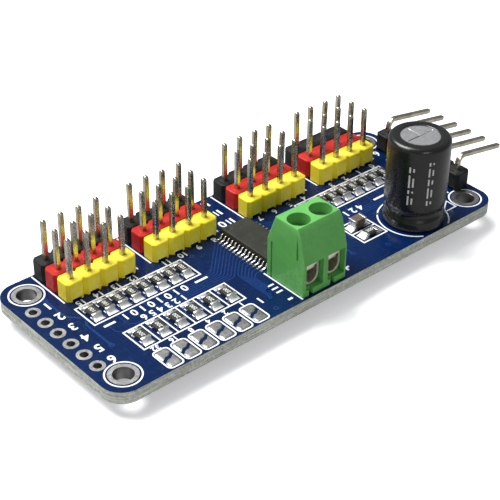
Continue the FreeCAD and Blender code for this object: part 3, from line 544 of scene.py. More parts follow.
# a square bar with cut corners and rounded tips, swept along points; two of its sides face y
def rod(bm, points, half, corner, tip):
    points = [Vector(point) for point in points]
    side = Vector((0, 1, 0))
    section = [(half, corner - half), (half, half - corner), (half - corner, half), (corner - half, half),
               (-half, half - corner), (-half, corner - half), (corner - half, -half), (half - corner, -half)]
    rounding = ((0, 0.4), (0.1, 0.66), (0.34, 0.86), (0.66, 0.96), (1, 1))  # shares of the tip and the width
    fromStart = (points[1] - points[0]).normalized() * tip
    fromEnd = (points[-2] - points[-1]).normalized() * tip
    stations = [(points[0] + fromStart * part, size) for part, size in rounding]
    stations += [(point, 1.0) for point in points[1:-1]]
    stations += [(points[-1] + fromEnd * part, size) for part, size in reversed(rounding)]
    rings = []
    for index, (point, size) in enumerate(stations):
        before = stations[max(index - 1, 0)][0]
        after = stations[min(index + 1, len(stations) - 1)][0]
        along = (after - before).normalized()
        across = along.cross(side).normalized()
        rings.append([point + across * a * size + side * b * size for a, b in section])
    addRings(bm, rings)


def addInto(bm, part):
    store = bpy.data.meshes.new("store")
    part.to_mesh(store)
    part.free()
    bm.from_mesh(store)
    bpy.data.meshes.remove(store)


def block(bm, low, high, bevel):
    part = bmesh.new()
    bmesh.ops.create_cube(part, size=1)
    size = Vector(high) - Vector(low)
    bmesh.ops.scale(part, vec=size, verts=part.verts)
    bmesh.ops.translate(part, vec=(Vector(high) + Vector(low)) / 2, verts=part.verts)
    bmesh.ops.bevel(part, geom=part.edges[:], offset=min(bevel, min(size) * 0.4), segments=2,
                    profile=0.5, affect="EDGES", clamp_overlap=True)
    addInto(bm, part)


glyphs = {}


def makeGlyph(text):
    curve = bpy.data.curves.new("glyph", "FONT")
    curve.body = text
    curve.size = 1
    curve.align_x = "CENTER"
    curve.align_y = "CENTER"
    curve.extrude = 0.5
    curve.offset = 0.022  # printed strokes are a little bold
    curve.resolution_u = 3
    holder = bpy.data.objects.new("glyph", curve)
    mesh = bpy.data.meshes.new_from_object(holder)
    bpy.data.objects.remove(holder)
    bpy.data.curves.remove(curve)
    return mesh


# printed characters, a thin closed solid each; spot is the matrix that places them
def print3d(bm, text, spot, size, thick):
    if text not in glyphs:
        glyphs[text] = makeGlyph(text)
    part = bmesh.new()
    part.from_mesh(glyphs[text])
    bmesh.ops.remove_doubles(part, verts=part.verts, dist=0.0005)
    bmesh.ops.scale(part, vec=(size, size, thick), verts=part.verts)
    bmesh.ops.transform(part, matrix=spot, verts=part.verts)
    addInto(bm, part)


def spotAt(x, y, z, turn, axis="Z"):
    return Matrix.Translation((x, y, z)) @ Matrix.Rotation(math.radians(turn), 4, axis)


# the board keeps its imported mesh; its platings get a softened rim
board = frame["nodes"]["circuit_board"]
board.data.materials.clear()
board.data.materials.append(finish["board_blue"])
for node in ("mounting_hole_plating", "side_hole_plating"):
    refine(node, 0.02, 1, 40)
print("board ready")


# moulded strips
strips = {"edge": 0.07}
for group in groups:
    for row in rows:
        refine(f"{row}_strip_{group}", strips["edge"])
refine("angle_header_housing", strips["edge"])

# straight pins, each a little off true
pins = {"count": 4, "corner": 0.1, "tip": 0.42, "straight": 2.5, "lean": 0.07, "drop": 0.12, "seed": 4}
chance = random.Random(pins["seed"])
for group in groups:
    for row in rows:
        node = f"{row}_pins_{group}"
        low, high = (Vector(corner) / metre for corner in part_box(node))
        half = (high.y - low.y) / 2
        bm = bmesh.new()
        for index in range(pins["count"]):
            x, y = low.x + half + index * pinPitch, (low.y + high.y) / 2
            leanX, leanY = chance.uniform(-1, 1) * pins["lean"], chance.uniform(-1, 1) * pins["lean"]
            drop = chance.uniform(0, pins["drop"])
            path = ((x, y, low.z), (x, y, boardTop + pins["straight"]), (x + leanX, y + leanY, high.z - drop))
            rod(bm, path, half, pins["corner"], pins["tip"])
        finishPiece(bm, f"{node}_bars", finish["bright_pins"], (node,))

# right-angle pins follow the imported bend
anglePins = {"bend": 0.9, "rise": 3.49, "turn": 100.0, "steps": 9, "count": 6, "spare": 0.6}
low, high = (Vector(corner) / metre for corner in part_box("angle_header_pins"))
pinLow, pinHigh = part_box("signal_pins_1")
half = (pinHigh[1] - pinLow[1]) / metre / 2
housingLow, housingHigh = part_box("angle_header_housing")
angleX = (housingLow[0] + housingHigh[0]) / 2 / metre
pitchY = (high.y - low.y - 2 * half) / (anglePins["count"] - 1)
bendFoot = boardTop + anglePins["rise"]
bm = bmesh.new()
for index in range(anglePins["count"]):
    y = low.y + half + index * pitchY
    path = [(angleX, y, low.z), (angleX, y, bendFoot)]
    for step in range(1, anglePins["steps"] + 1):
        angle = math.radians(anglePins["turn"]) * step / anglePins["steps"]
        path.append((angleX + anglePins["bend"] * (1 - math.cos(angle)), y,
                     bendFoot + anglePins["bend"] * math.sin(angle)))
    fall = math.radians(anglePins["turn"] - 90)
    reach = (high.x - path[-1][0]) / math.cos(fall) - half * math.tan(fall) * anglePins["spare"]
    path.append((path[-1][0] + reach * math.cos(fall), y, path[-1][2] - reach * math.sin(fall)))
    rod(bm, path, half, pins["corner"], pins["tip"])
finishPiece(bm, "angle_header_pins_bars", finish["bright_pins"], ("angle_header_pins",))
print("headers ready")


# soldered joints under the board: hollow-sided cones, each a little different
joints = {
    "foot": 0.87,
    "neck": 0.42,
    "height": 1.0,
    "heightSpread": (0.88, 1.08),
    "squash": (0.01, 0.05),
    "core": 0.35,
    "steps": 7,
    "hollow": 2.1,
    "seed": 11,
}
terminalJoints = {"foot": 1.12, "neck": 0.66, "height": 0.95}
chance = random.Random(joints["seed"])


def solderCone(bm, x, y, foot, neck, height):
    height *= chance.uniform(*joints["heightSpread"])
    phase, squash = chance.uniform(0, 6.28), chance.uniform(*joints["squash"])
    profile = [(neck * 0.9, joints["core"]), (foot * 0.97, 0.02), (foot, -0.03)]
    for step in range(1, joints["steps"] + 1):
        t = step / joints["steps"]
        profile.append((neck + (foot - neck) * (1 - t) ** joints["hollow"], -0.05 - height * t))
    profile.append((neck * 0.55, -0.06 - height * 1.03))  # a low tip over the pin's end
    lathe(bm, profile, x, y, 20, lambda angle, z: 1 + squash * math.cos(angle - phase))


for node, size in (("header_solder_joints", joints), ("angle_header_solder_joints", joints),
                   ("capacitor_solder_joints", joints), ("terminal_solder_joints", terminalJoints)):
    bm = bmesh.new()
    for low, high in islandBoxes(node):
        solderCone(bm, (low.x + high.x) / 2, (low.y + high.y) / 2, size["foot"], size["neck"],
                   min(size["height"], -low.z))
    finishPiece(bm, f"{node}_cones", finish["solder"], (node,), sharp=60)
print("solder joints ready")


# screw terminal
terminal = {"edge": 0.13, "metalEdge": 0.07, "contactEdge": 0.05}
thread = {"pitch": 0.45, "height": 0.07, "shank": 0.86, "root": 0.84, "halfWidth": 0.14, "start": 0.25,
          "plain": 1.9, "steps": 20}
housingLow, housingHigh = (Vector(corner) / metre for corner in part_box("terminal_housing"))


def longOrRim(edge):  # the sides' outlines are cut already
    first, second = (vert.co for vert in edge.verts)
    along = (second - first).normalized()
    rim = min(first.z, second.z) > housingHigh.z - 0.01 and abs(along.z) < 0.01
    onFront = max(first.y, second.y) < housingLow.y + 0.01
    return abs(along.x) > 0.99 or rim or (onFront and abs(along.z) > 0.99)


def threadRings(x, y, low, high):
    turns = int((high - low - thread["plain"]) / thread["pitch"])
    rings = []
    for step in range(turns * thread["steps"]):
        angle = 2 * math.pi * step / thread["steps"]
        out = Vector((math.cos(angle), math.sin(angle), 0))
        centre = Vector((x, y, low + thread["start"] + thread["pitch"] * step / thread["steps"]))
        flank = Vector((0, 0, thread["halfWidth"]))
        root, crest = centre + out * thread["root"], centre + out * (thread["shank"] + thread["height"])
        rings.append([root - flank, crest, root + flank])
    return rings


refine("terminal_housing", terminal["edge"], keep=longOrRim)
for index in (1, 2):
    node = f"terminal_screw_{index}"
    bm = cadMesh(node)
    bevelEdges(bm, terminal["metalEdge"])
    low, high = (Vector(corner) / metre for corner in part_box(node))
    addRings(bm, threadRings((low.x + high.x) / 2, (low.y + high.y) / 2, low.z, high.z))
    finishPiece(bm, f"{node}_turned", finish["screw_steel"], (node,))
    refine(f"terminal_cage_{index}", terminal["metalEdge"])
refine("terminal_contacts", terminal["contactEdge"])
print("terminal ready")


# reservoir capacitor: heights of the sleeve's outline count from its foot or down from its top
can = {
    "segments": 72,
    "foot": 0.9,
    "grooveStart": 1.0,
    "grooveHeight": 1.9,
    "groove": 0.36,
    "grooveSteps": 8,
    "wall": (3.4, 3.0),
    "rim": 0.65,
    "rimSteps": 6,
    "window": 2.5,
    "film": 0.1,
    "ripple": 0.004,
    "seed": 23,
}
low, high = (Vector(corner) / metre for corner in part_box("capacitor_sleeve"))
canX, canY = (low.x + high.x) / 2, (low.y + high.y) / 2
canRadius = (high.x - low.x) / 2
canBase, canTop = low.z, high.z
chance = random.Random(can["seed"])
waves = [(chance.choice((3, 5, 7, 11)), chance.uniform(0, 6.28), chance.uniform(0.3, 1)) for _ in range(5)]


def filmWobble(angle, z):
    near = 0.9 if abs(z - canBase - 2.0) < 1.4 else 0.25  # the film puckers over the groove
    total = sum(k * math.sin(n * angle + p) for n, p, k in waves) / 3
    return 1 - can["ripple"] * near + can["ripple"] * near * total


def grooveLine(surface):
    points = []
    for step in range(can["grooveSteps"] + 1):
        t = step / can["grooveSteps"]
        points.append((surface - can["groove"] * math.sin(math.pi * t) ** 1.4,
                       canBase + can["grooveStart"] + can["grooveHeight"] * t))
    return points


outline = [(canRadius, canBase), (canRadius, canBase + can["foot"])]
outline += grooveLine(canRadius)
outline += [(canRadius, canBase + can["wall"][0]), (canRadius, canTop - can["wall"][1]),
            (canRadius, canTop - can["rim"] - 0.1)]
for step in range(1, can["rimSteps"] + 1):
    angle = math.pi / 2 * step / can["rimSteps"]
    outline.append((canRadius - can["rim"] * (1 - math.cos(angle)),
                    canTop - can["rim"] + can["rim"] * math.sin(angle)))
for step, drop in ((0.25, 0), (0.06, 0.02), (0, 0.08), (0.06, 0.16)):  # the film's lip round the bare crown
    outline.append((can["window"] + step, canTop - drop))
inner = [(canRadius - 0.66, canTop - 0.16), (canRadius - 0.12, canTop - 0.75),
         (canRadius - 0.12, canBase + 3.0)]
inner += grooveLine(canRadius - can["film"])[::-1]
inner += [(canRadius - can["film"], canBase + can["foot"]), (canRadius - can["film"], canBase)]
bm = bmesh.new()
lathe(bm, outline + inner, canX, canY, can["segments"], filmWobble, closed=True)
finishPiece(bm, "capacitor_sleeve_film", finish["sleeve_film"], ("capacitor_sleeve",), sharp=50,
            weighted=False)

# the can's crown has pressed vent lines; a painted shade darkens their floors and all of the can below the
# crown
ventShade = {"deep": 0.00007, "shallow": 0.00002, "color": (0.3, 0.3, 0.3)}
tree = finish["capacitor_aluminium"].node_tree
shader = tree.nodes["Principled BSDF"]
place = addNode(tree, "ShaderNodeTexCoord").outputs["Object"]
depth = addNode(tree, "ShaderNodeSeparateXYZ", {0: place}).outputs["Z"]
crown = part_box("capacitor_can")[1][2]
ventShadeFade = addNode(tree, "ShaderNodeMapRange", {
    0: depth, 1: crown - ventShade["deep"], 2: crown - ventShade["shallow"]}).outputs[0]
plainColor = shader.inputs["Base Color"].links[0].from_socket
# painted shade: the shade colour below the crown, the plain metal at the crown
tree.links.new(mixColor(tree, ventShadeFade, ventShade["color"], plainColor), shader.inputs["Base Color"])
bm = cadMesh("capacitor_can")
bevelEdges(bm, 0.03, 1, 40)
finishPiece(bm, "capacitor_can_shell", finish["capacitor_aluminium"], ("capacitor_can",))
for node in ("capacitor_bung", "capacitor_winding"):
    refine(node, 0.05, 1, 40)
bm = bmesh.new()
for low, high in islandBoxes("capacitor_leads"):
    r = (high.x - low.x) / 2
    profile = ((r * 0.5, low.z), (r, low.z + 0.12), (r, boardTop), (r * 1.02, boardTop + 0.2), (r, high.z))
    lathe(bm, profile, (low.x + high.x) / 2, (low.y + high.y) / 2, 20)
finishPiece(bm, "capacitor_leads_wires", finish["bright_pins"], ("capacitor_leads",))

# print on the sleeve, wrapped round the film: a stripe of minus signs, then plain bars; angles in degrees
sleeve = {
    "foot": 3.9,
    "raise": 0.012,
    "root": 0.05,
    "stripeAngle": 62,
    "stripeHalf": 17,
    "stripeLine": 0.9,
    "stripeLow": 3.4,
    "stripeHigh": 1.0,
    "minus": {"count": 4, "step": 1.75, "height": 1.1, "half": 3},
    "bars": ((212, (1.3, 0.5, 1.8, 0.8)), (247, (0.7, 1.5, 0.9, 1.2, 0.5))),  # angle and lengths of a row
    "barGap": 0.35,
}


def wrapped(bm, angle0, angle1, z0, z1):
    steps = max(1, int(abs(angle1 - angle0) / 3))
    inside, outside = canRadius - sleeve["root"], canRadius + sleeve["raise"]
    rings = []
    for step in range(steps + 1):
        angle = math.radians(angle0 + (angle1 - angle0) * step / steps)
        out = Vector((math.cos(angle), math.sin(angle), 0))
        centre = Vector((canX, canY, 0))
        rings.append([centre + out * r + Vector((0, 0, z)) for r, z in
                      ((inside, z0), (outside, z0), (outside, z1), (inside, z1))])
    addRings(bm, rings)


bm = bmesh.new()
printFoot = canBase + sleeve["foot"]
minus, stripe = sleeve["minus"], sleeve["stripeAngle"]
for index in range(minus["count"]):
    z = printFoot + index * minus["step"]
    wrapped(bm, stripe - minus["half"], stripe + minus["half"], z, z + minus["height"])
for offset in (-sleeve["stripeHalf"], sleeve["stripeHalf"]):
    wrapped(bm, stripe + offset - sleeve["stripeLine"], stripe + offset + sleeve["stripeLine"],
            canBase + sleeve["stripeLow"], canTop - sleeve["stripeHigh"])
for angle, lengths in sleeve["bars"]:
    z = printFoot
    for length in lengths:
        wrapped(bm, angle - 5.5, angle - 2.5, z, z + length)
        wrapped(bm, angle + 1.5, angle + 4.5, z + 0.15, z + length * 0.8)
        z += length + sleeve["barGap"]
finishPiece(bm, "capacitor_sleeve_print", sleevePrint)
print("capacitor ready")


# driver chip
chip = {"edge": 0.06, "leadEdge": 0.02}
refine("chip_package", chip["edge"])
refine("chip_leads", chip["leadEdge"], 1)
refine("chip_lands", chip["leadEdge"], 1)


# small parts: bodies, metal ends and their soldering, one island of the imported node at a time
small = {"bodyEdge": 0.04, "endEdge": 0.06}


def softBlocks(node, edge, suffix):
    bm = bmesh.new()
    for low, high in islandBoxes(node):
        block(bm, low, high, edge)
    finishPiece(bm, f"{node}_{suffix}", finish[slotOf[node]], (node,))


for node in ("series_resistor_bodies", "address_resistor_bodies", "dropper_resistor_body",
             "ceramic_capacitor_body"):
    softBlocks(node, small["bodyEdge"], "blocks")
for node in ("series_resistor_ends", "address_resistor_ends", "corner_part_ends"):
    softBlocks(node, small["endEdge"], "caps")

# solder that runs up a part's end in a hollow curve from its land
fillet = {"steps": 6, "halfPart": 1.0, "film": 0.05, "lip": 0.04, "hollow": 2.2, "seed": 31}
chance = random.Random(fillet["seed"])


def filletSection(along, height, share, ground, axis, cross, centre, halfWide):
    shoulder = height * 0.65 + (ground + fillet["lip"]) * 0.35
    lip = ground + fillet["lip"]
    section = []
    for a, z in ((-1, ground), (1, ground), (1, lip), (share * 0.95, shoulder), (share * 0.72, height),
                 (-share * 0.72, height), (-share * 0.95, shoulder), (-1, lip)):
        co = [0, 0, max(z, ground)]
        co[axis] = along
        co[cross] = centre + a * halfWide
        section.append(co)
    return section


def solderFillets(node, lengthwise):
    axis, cross = (0, 1) if lengthwise == "x" else (1, 0)
    partEnds = {}  # the two ends of one part share a line
    for low, high in islandBoxes(node):
        partEnds.setdefault(round((low[cross] + high[cross]) / 2, 1), []).append((low, high))
    bm = bmesh.new()
    for ends in partEnds.values():
        middle = sum((low[axis] + high[axis]) / 2 for low, high in ends) / len(ends)
        for low, high in ends:
            sign = 1 if (low[axis] + high[axis]) / 2 > middle else -1
            start = low[axis] if sign > 0 else high[axis]
            end = high[axis] if sign > 0 else low[axis]
            halfWide = (high[cross] - low[cross]) / 2
            centre = (high[cross] + low[cross]) / 2
            bed, peak = low.z + fillet["film"], high.z * chance.uniform(0.97, 1.0)
            face = middle + sign * fillet["halfPart"]  # where the part's end stands
            stations = [(start, bed, 1.0), (face - sign * 0.01, bed, 1.0), (face, peak, 0.9)]
            for step in range(1, fillet["steps"] + 1):
                t = step / fillet["steps"]
                height = bed + (peak - bed) * (1 - t) ** fillet["hollow"]
                stations.append((face + (end - face) * t, height, 0.9 + 0.1 * t))
            addRings(bm, [filletSection(along, height, share, low.z, axis, cross, centre, halfWide)
                          for along, height, share in stations])
    finishPiece(bm, f"{node}_fillets", finish["solder"], (node,), sharp=55)


solderFillets("series_soldering", "y")
solderFillets("address_soldering", "y")
solderFillets("corner_soldering", "x")
print("small parts ready")


# address pads: two halves with an S-shaped gap between them
jumpers = {"gap": 0.44, "swing": 0.4, "corner": 0.3, "dome": 0.05, "gapSteps": 12, "cornerSteps": 3}
columns = {}
for low, high in islandBoxes("address_jumper_pads"):
    columns.setdefault(round(low.x, 1), []).append((low, high))


def padOutline(sign, halfX, halfY):
    corner = jumpers["corner"]
    points = []
    for step in range(jumpers["gapSteps"] + 1):
        t = step / jumpers["gapSteps"]
        swing = jumpers["swing"] * math.sin(math.pi * (t - 0.5)) ** 3
        points.append(Vector((-halfX + 2 * halfX * t, sign * jumpers["gap"] / 2 + swing)))
    for cornerX, start in ((halfX - corner, 0), (corner - halfX, 90)):
        for step in range(jumpers["cornerSteps"] + 1):
            angle = math.radians(start + 90 * step / jumpers["cornerSteps"])
            points.append(Vector((cornerX + corner * math.cos(angle),
                                  sign * (halfY - corner + corner * math.sin(angle)))))
    return points


bm = bmesh.new()
jumperSpots = []
for column in columns.values():
    lowX, highX = min(low.x for low, _ in column), max(high.x for _, high in column)
    lowY, highY = min(low.y for low, _ in column), max(high.y for _, high in column)
    ground, roof = column[0][0].z, column[0][1].z
    midX, midY = (lowX + highX) / 2, (lowY + highY) / 2
    jumperSpots.append((midX, midY))
    levels = ((1.0, ground), (1.0, roof - 0.01), (0.95, roof + 0.01), (0.7, roof + jumpers["dome"]))
    for sign in (-1, 1):
        points = padOutline(sign, (highX - lowX) / 2, (highY - lowY) / 2)
        middle = sum(points, Vector((0, 0))) / len(points)
        addRings(bm, [[(midX + middle.x + (point.x - middle.x) * shrink,
                        midY + middle.y + (point.y - middle.y) * shrink, z) for point in points]
                      for shrink, z in levels])
finishPiece(bm, "address_jumper_pads_halves", finish["tinned_copper"], ("address_jumper_pads",), sharp=50)
print("address pads ready")


# printed legend: lines, boxes and plain numerals
legend = {
    "line": 0.2,
    "low": boardTop - 0.02,
    "high": boardTop + 0.025,
    "digit": 1.35,
    "stripGap": 0.28,
    "stripDigits": 0.64,
    "highestDigit": 15,
    "bankFrame": (0.52, 1.4, 1.25),  # beyond the resistors: sideways, below and above
    "padFrame": (1.05, 1.72, 0.5),  # half width, half height and corner of a box round two pads
    "padDigits": 2.285,
    "padDigit": 1.15,
    "divider": 0.18,
    "inset": 0.11,  # from the middle of a box line to a line's end inside it
    "signY": -10.9,
    "plus": 2.2,
    "minus": 2.4,
    "poleBars": (-9.2, -8.4, -7.6),
    "poleBarWidth": 0.26,
    "canRing": 4.6,
    "canArrow": ((25.5, -8.4), (25.5, -10.1), (23.2, -10.1)),
    "cornerBox": (10.35, -8.4, 14.4, -3.95),
    "cornerDivider": -6.2,
    "holeRing": (2.02, 2.22),
    "ringSteps": 56,
    "holeDigit": 1.9,
    "pinDigit": 1.7,
    # text, x, y and size of the numerals that fill the places that wording would
    "numerals": (
        ("0 1 0 1 0 1 0 1", -17.2, -1.3, 1.6), ("1 2 3 4 5 6", -17.0, -2.75, 1.5),
        ("16", 6.6, -2.3, 1.7), ("12 8", 6.6, -4.0, 1.7), ("4 2 1", 14.5, -2.1, 1.6),
        ("0", 6.3, -7.6, 1.6), ("1", -7.6, -9.0, 1.6)),
    # x, y and length of plain bars
    "bars": (
        (-24.6, -1.35, 1.6), (-11.2, -1.35, 1.9), (4.9, -5.4, 1.3), (6.8, -5.4, 2.0), (18.4, -2.1, 2.3)),
    "barWidth": 0.34,
}
legendMesh = bmesh.new()


def line(points, width=legend["line"], closed=False):
    ribbon(legendMesh, points, width, legend["low"], legend["high"], closed)


def boxLine(x0, y0, x1, y1, radius=0.0):
    points = [(x0, y0), (x1, y0), (x1, y1), (x0, y1)]
    if radius:
        points = []
        for (x, y), start in zip(((x1 - radius, y1 - radius), (x0 + radius, y1 - radius),
                                  (x0 + radius, y0 + radius), (x1 - radius, y0 + radius)), (0, 90, 180, 270)):
            for step in range(5):
                angle = math.radians(start + 90 * step / 4)
                points.append((x + radius * math.cos(angle), y + radius * math.sin(angle)))
    line(points, closed=True)


def digits(text, x, y, size=legend["digit"], turn=180):
    middle = (legend["low"] + legend["high"]) / 2
    print3d(legendMesh, text, spotAt(x, y, middle, turn), size, legend["high"] - legend["low"])


# numbers and end lines of the header strips, then signs for their rows in the middle gap
stripSpans = []
for group in groups:
    low = Vector(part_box(f"signal_strip_{group}")[0]) / metre
    high = Vector(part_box(f"ground_strip_{group}")[1]) / metre
    for x in (low.x - legend["stripGap"], high.x + legend["stripGap"]):
        line(((x, high.y - 0.2), (x, low.y + 0.4)))
    for index in range(pins["count"]):
        number = legend["highestDigit"] - (group - 1) * pins["count"] - index
        digits(str(number), low.x + pinPitch / 2 + pinPitch * index, low.y - legend["stripDigits"])
    stripSpans.append((low.x, high.x))
middleX = (stripSpans[1][1] + stripSpans[2][0]) / 2
for row, symbol in zip(rows, ("0", "+", "-")):
    low, high = (Vector(corner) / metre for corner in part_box(f"{row}_strip_1"))
    y = (low.y + high.y) / 2
    digits(symbol, middleX - 0.8, y, legend["holeDigit"], 0)
    line(((middleX + 0.2, y - 0.6), (middleX + 0.2, y + 0.6)))
    line(((middleX + 0.8, y - 0.6), (middleX + 0.8, y + 0.6)), 0.3)

# frames round the banks of resistors, with dividers between the address ones
wide, below, above = legend["bankFrame"]
for node in ("series_resistor_bodies", "address_resistor_bodies"):
    spots = islandBoxes(node)
    for side in ([box for box in spots if box[0].x < 0], [box for box in spots if box[0].x > 0]):
        if side:
            x0, x1 = min(low.x for low, _ in side), max(high.x for _, high in side)
            y0, y1 = min(low.y for low, _ in side), max(high.y for _, high in side)
            boxLine(x0 - wide, y0 - below, x1 + wide, y1 + above)
            if node.startswith("address"):
                for (low, high), (nextLow, _) in zip(side, side[1:]):
                    divide = (high.x + nextLow.x) / 2
                    line(((divide, y0 - below + legend["inset"]), (divide, y1 + above - legend["inset"])),
                         legend["divider"])
wide, tall, corner = legend["padFrame"]
for index, (x, y) in enumerate(jumperSpots):
    boxLine(x - wide, y - tall, x + wide, y + tall, corner)
    digits(str(2 ** (5 - index)), x, y + legend["padDigits"], legend["padDigit"])

# signs of the power terminal
low, high = (Vector(corner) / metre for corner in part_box("terminal_housing"))
line(((low.x - 0.18, high.y + 0.2), (low.x - 0.18, low.y - 0.1)))
digits("+", high.x + 1.15, legend["signY"], legend["plus"], 0)
digits("-", low.x - 1.2, legend["signY"], legend["minus"], 0)
for y in legend["poleBars"]:
    line(((low.x - 1.7, y), (low.x - 0.75, y)), legend["poleBarWidth"])

# the capacitor's ring stops at the board's edge
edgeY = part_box("circuit_board")[0][1] / metre + 0.25
ringPoints = []
for degrees in range(-90, 271, 6):
    angle = math.radians(degrees)
    ringPoints.append((canX + legend["canRing"] * math.cos(angle),
                       canY + legend["canRing"] * math.sin(angle)))
start = next(i for i, point in enumerate(ringPoints) if point[1] > edgeY)
line([point for point in ringPoints[start:] if point[1] > edgeY])
line(legend["canArrow"], closed=True)

# box of the two corner parts
boxLine(*legend["cornerBox"])
x0, y0, x1, y1 = legend["cornerBox"]
line(((x0 + legend["inset"], legend["cornerDivider"]), (x1 - legend["inset"], legend["cornerDivider"])))

# rings round the mounting holes, numbers of the bare holes and of the bent pins
holes = record["mounts"][0]["dims"]
for x in (-1, 1):
    for y in (-1, 1):
        ring(legendMesh, x * holes["spacing_x_mm"] / 2, y * holes["spacing_y_mm"] / 2, *legend["holeRing"],
             legend["low"], legend["high"], legend["ringSteps"])
low, high = (Vector(corner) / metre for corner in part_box("side_hole_plating"))
for index in range(6):
    digits(str(6 - index), high.x + 1.0, low.y + 0.95 + pinPitch * index, legend["holeDigit"])
low, high = (Vector(corner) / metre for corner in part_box("angle_header_housing"))
for index in range(anglePins["count"]):
    digits(str(index + 1), low.x - 0.9, low.y + pinPitch / 2 + pinPitch * index, legend["pinDigit"])
for text, x, y, size in legend["numerals"]:
    digits(text, x, y, size)
for x, y, length in legend["bars"]:
    line(((x, y), (x + length, y)), legend["barWidth"])
finishPiece(legendMesh, "board_legend", legendWhite, weighted=False)

# value codes on the resistors
codes = {"size": 0.72, "thick": 0.012}
codeMesh = bmesh.new()
for node, code, turn in (("series_resistor_bodies", "100", 90), ("address_resistor_bodies", "200", 90),
                         ("dropper_resistor_body", "300", 0)):
    for low, high in islandBoxes(node):
        spot = spotAt((low.x + high.x) / 2, (low.y + high.y) / 2, high.z, turn)
        print3d(codeMesh, code, spot, codes["size"], codes["thick"])
finishPiece(codeMesh, "resistor_codes", sleevePrint, weighted=False)
print("legend ready")


# copper tracks under the lacquer, seen as low ridges
tracks = {
    "width": 0.16,
    "wide": 0.3,
    "low": boardTop - 0.02,
    "high": boardTop + 0.014,
    "bend": 0.3,
    "escape": 0.3,
    "escapeStep": 0.06,
    "firstRun": -0.95,
    "runStep": 0.36,
    "fall": 2.9,
    "fallStep": 0.24,
    "fallEnd": -9.4,
    "fallEndStep": 0.42,
    # loose wide tracks near the edges
    "loose": (
        ((24.9, -4.3), (26.4, -2.8), (26.4, 1.9)), ((7.6, -6.4), (7.6, -9.2)),
        ((-25.9, -4.6), (-25.9, 0.4), (-25.2, 1.1)), ((-26.9, 7.2), (-26.9, 3.1), (-25.6, 1.8))),
    "vias": (
        (-5.6, -8.2), (5.0, -1.2), (6.4, 1.9), (7.6, -9.2), (24.9, -4.3), (26.4, -1.6), (-8.0, 3.2),
        (-7.2, -11.4), (9.2, 4.3), (-26.9, 7.2), (5.6, -6.4), (16.2, -4.6), (12.4, -10.6), (-25.9, -4.6)),
    "viaRing": (0.16, 0.36),
    "endRing": (0.1, 0.26),
    "ringLift": 0.012,
}
tracksMesh = bmesh.new()


def track(points, width=tracks["width"], radius=0.7):
    ribbon(tracksMesh, softPath([(x, y, 0) for x, y in points], radius), width, tracks["low"], tracks["high"])


def trackRing(x, y, size):
    ring(tracksMesh, x, y, *size, tracks["low"], tracks["high"] + tracks["ringLift"], 20)


leads = islandBoxes("chip_leads")
leftLeads = sorted((box for box in leads if box[0].x < -1), key=lambda box: box[0].y)
rightLeads = sorted((box for box in leads if box[1].x > 1), key=lambda box: box[0].y)
series = islandBoxes("series_resistor_bodies")
leftBank = sorted((low.x + high.x) / 2 for low, high in series if low.x < 0)
rightBank = sorted((low.x + high.x) / 2 for low, high in series if low.x > 0)
bankLow = min(low.y for low, _ in series)
for side, leadRow, bank in ((-1, leftLeads[::-1], leftBank[::-1]), (1, rightLeads[::-1], rightBank)):
    for index, (low, high) in enumerate(leadRow):  # from the lead nearest the strips
        y, tip = (low.y + high.y) / 2, low.x if side < 0 else high.x
        turnX = tip + side * (tracks["escape"] + tracks["escapeStep"] * index)
        if index < len(bank):
            runY = tracks["firstRun"] - tracks["runStep"] * index
            endX = turnX + side * (y - runY)
            track(((tip - side * 0.3, y), (turnX, y), (endX, runY), (bank[index] - side * 0.6, runY),
                   (bank[index], runY + 0.6), (bank[index], bankLow - 0.9)), radius=tracks["bend"])
        elif side < 0:
            spare = index - len(bank)
            fallX = tip - tracks["fall"] + tracks["fallStep"] * spare
            endY = tracks["fallEnd"] + tracks["fallEndStep"] * spare
            track(((tip + 0.3, y), (turnX, y), (fallX, y - (turnX - fallX)), (fallX, endY)),
                  radius=tracks["bend"])
            trackRing(fallX, endY, tracks["endRing"])
for low, high in series:
    x = (low.x + high.x) / 2
    track(((x, high.y + 0.6), (x, high.y + 1.4), (x + (0.35 if x < 0 else -0.35), high.y + 2.1)))
for x, y in jumperSpots:
    track(((x, y + 1.5), (x, y + 3.1)), tracks["wide"])
for points in tracks["loose"]:
    track(points, tracks["wide"])
for x, y in tracks["vias"]:
    trackRing(x, y, tracks["viaRing"])
finishPiece(tracksMesh, "board_tracks", traceBlue)

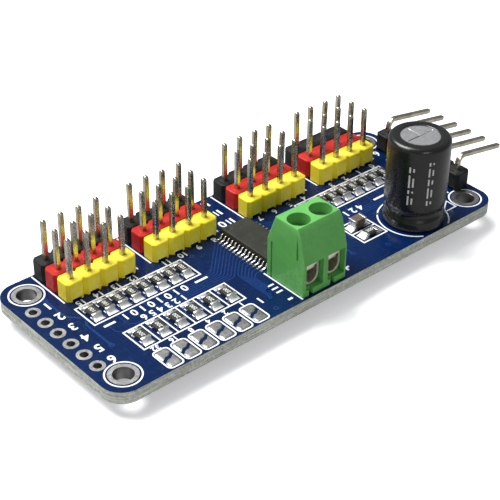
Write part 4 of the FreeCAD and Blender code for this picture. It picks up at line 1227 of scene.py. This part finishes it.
# the underside: wide tracks between the rows, frames round the strips and plain numerals
underside = {
    "low": -0.014,
    "high": 0.02,
    "pinHalf": 0.32,
    "viaRing": (0.16, 0.4),
    "rails": ((9.96, 0.6), (3.2, 1.0), (-4.3, 0.8), (-9.9, 0.7)),  # y and width
    "frameStarts": (-25.3, -12.6, 2.6, 15.3),
    "frameWidth": 10.9,
    "frameSpan": (4.4, 12.1),
    "print": 0.02,
    "digit": 1.2,
}
underMesh = bmesh.new()
for group in groups:
    low = Vector(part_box(f"signal_pins_{group}")[0]) / metre
    for index in range(pins["count"] - 1):
        x = low.x + underside["pinHalf"] + pinPitch * index + pinPitch / 2
        ribbon(underMesh, ((x, low.y + 0.3), (x, low.y - 2.4), (x * 0.96, low.y - 5.0)), tracks["wide"],
               underside["low"], underside["high"])
for y, width in underside["rails"]:
    ribbon(underMesh, ((-24.5, y), (-6, y), (-5, y - 0.9), (6, y - 0.9), (7, y), (24.5, y)), width,
           underside["low"], underside["high"])
for x, y in tracks["vias"]:
    ring(underMesh, x, y, *underside["viaRing"], underside["low"] - 0.01, underside["high"], 20)
finishPiece(underMesh, "underside_tracks", traceBlue)
underLegend = bmesh.new()
for group in groups:
    low = Vector(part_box(f"signal_pins_{group}")[0]) / metre
    for index in range(pins["count"]):
        spot = spotAt(low.x + underside["pinHalf"] + pinPitch * index, low.y - 1.55, 0, 180, "Y")
        number = (group - 1) * pins["count"] + index
        print3d(underLegend, str(number), spot, underside["digit"], 2 * underside["print"])
y0, y1 = underside["frameSpan"]
for x0 in underside["frameStarts"]:
    x1 = x0 + underside["frameWidth"]
    ribbon(underLegend, ((x0, y0), (x1, y0), (x1, y1), (x0, y1)), legend["line"],
           -underside["print"], underside["print"], True)
finishPiece(underLegend, "underside_legend", legendWhite, weighted=False)
print("tracks ready")


# pale floor under the lowest pin tails
floorMesh = bpy.data.meshes.new("floor")
half = studio["floorSize"] / 2
floorZ = cadBox[0][2]
corners = [(x * half, y * half, floorZ) for x, y in ((-1, -1), (1, -1), (1, 1), (-1, 1))]
floorMesh.from_pydata(corners, [], [(0, 1, 2, 3)])
floor = bpy.data.objects.new("floor", floorMesh)
bpy.context.collection.objects.link(floor)
floorPaint, tree, shader = newMaterial("floorPaint", Roughness=0.9, Emission_Strength=studio["floorGlow"])
floorColor = useGroup(tree, mottle, Base=studio["floorColor"], Tint=studio["floorTint"], Scale=8.0,
                      Amount=0.5)["Color"]
seen = addNode(tree, "ShaderNodeLightPath").outputs["Is Camera Ray"]  # less light thrown back up at the sides
tree.links.new(mixColor(tree, seen, studio["floorBounce"], floorColor), shader.inputs["Base Color"])
tree.links.new(mixColor(tree, seen, (0, 0, 0), floorColor), shader.inputs["Emission Color"])
floorMesh.materials.append(floorPaint)
print("floor ready")
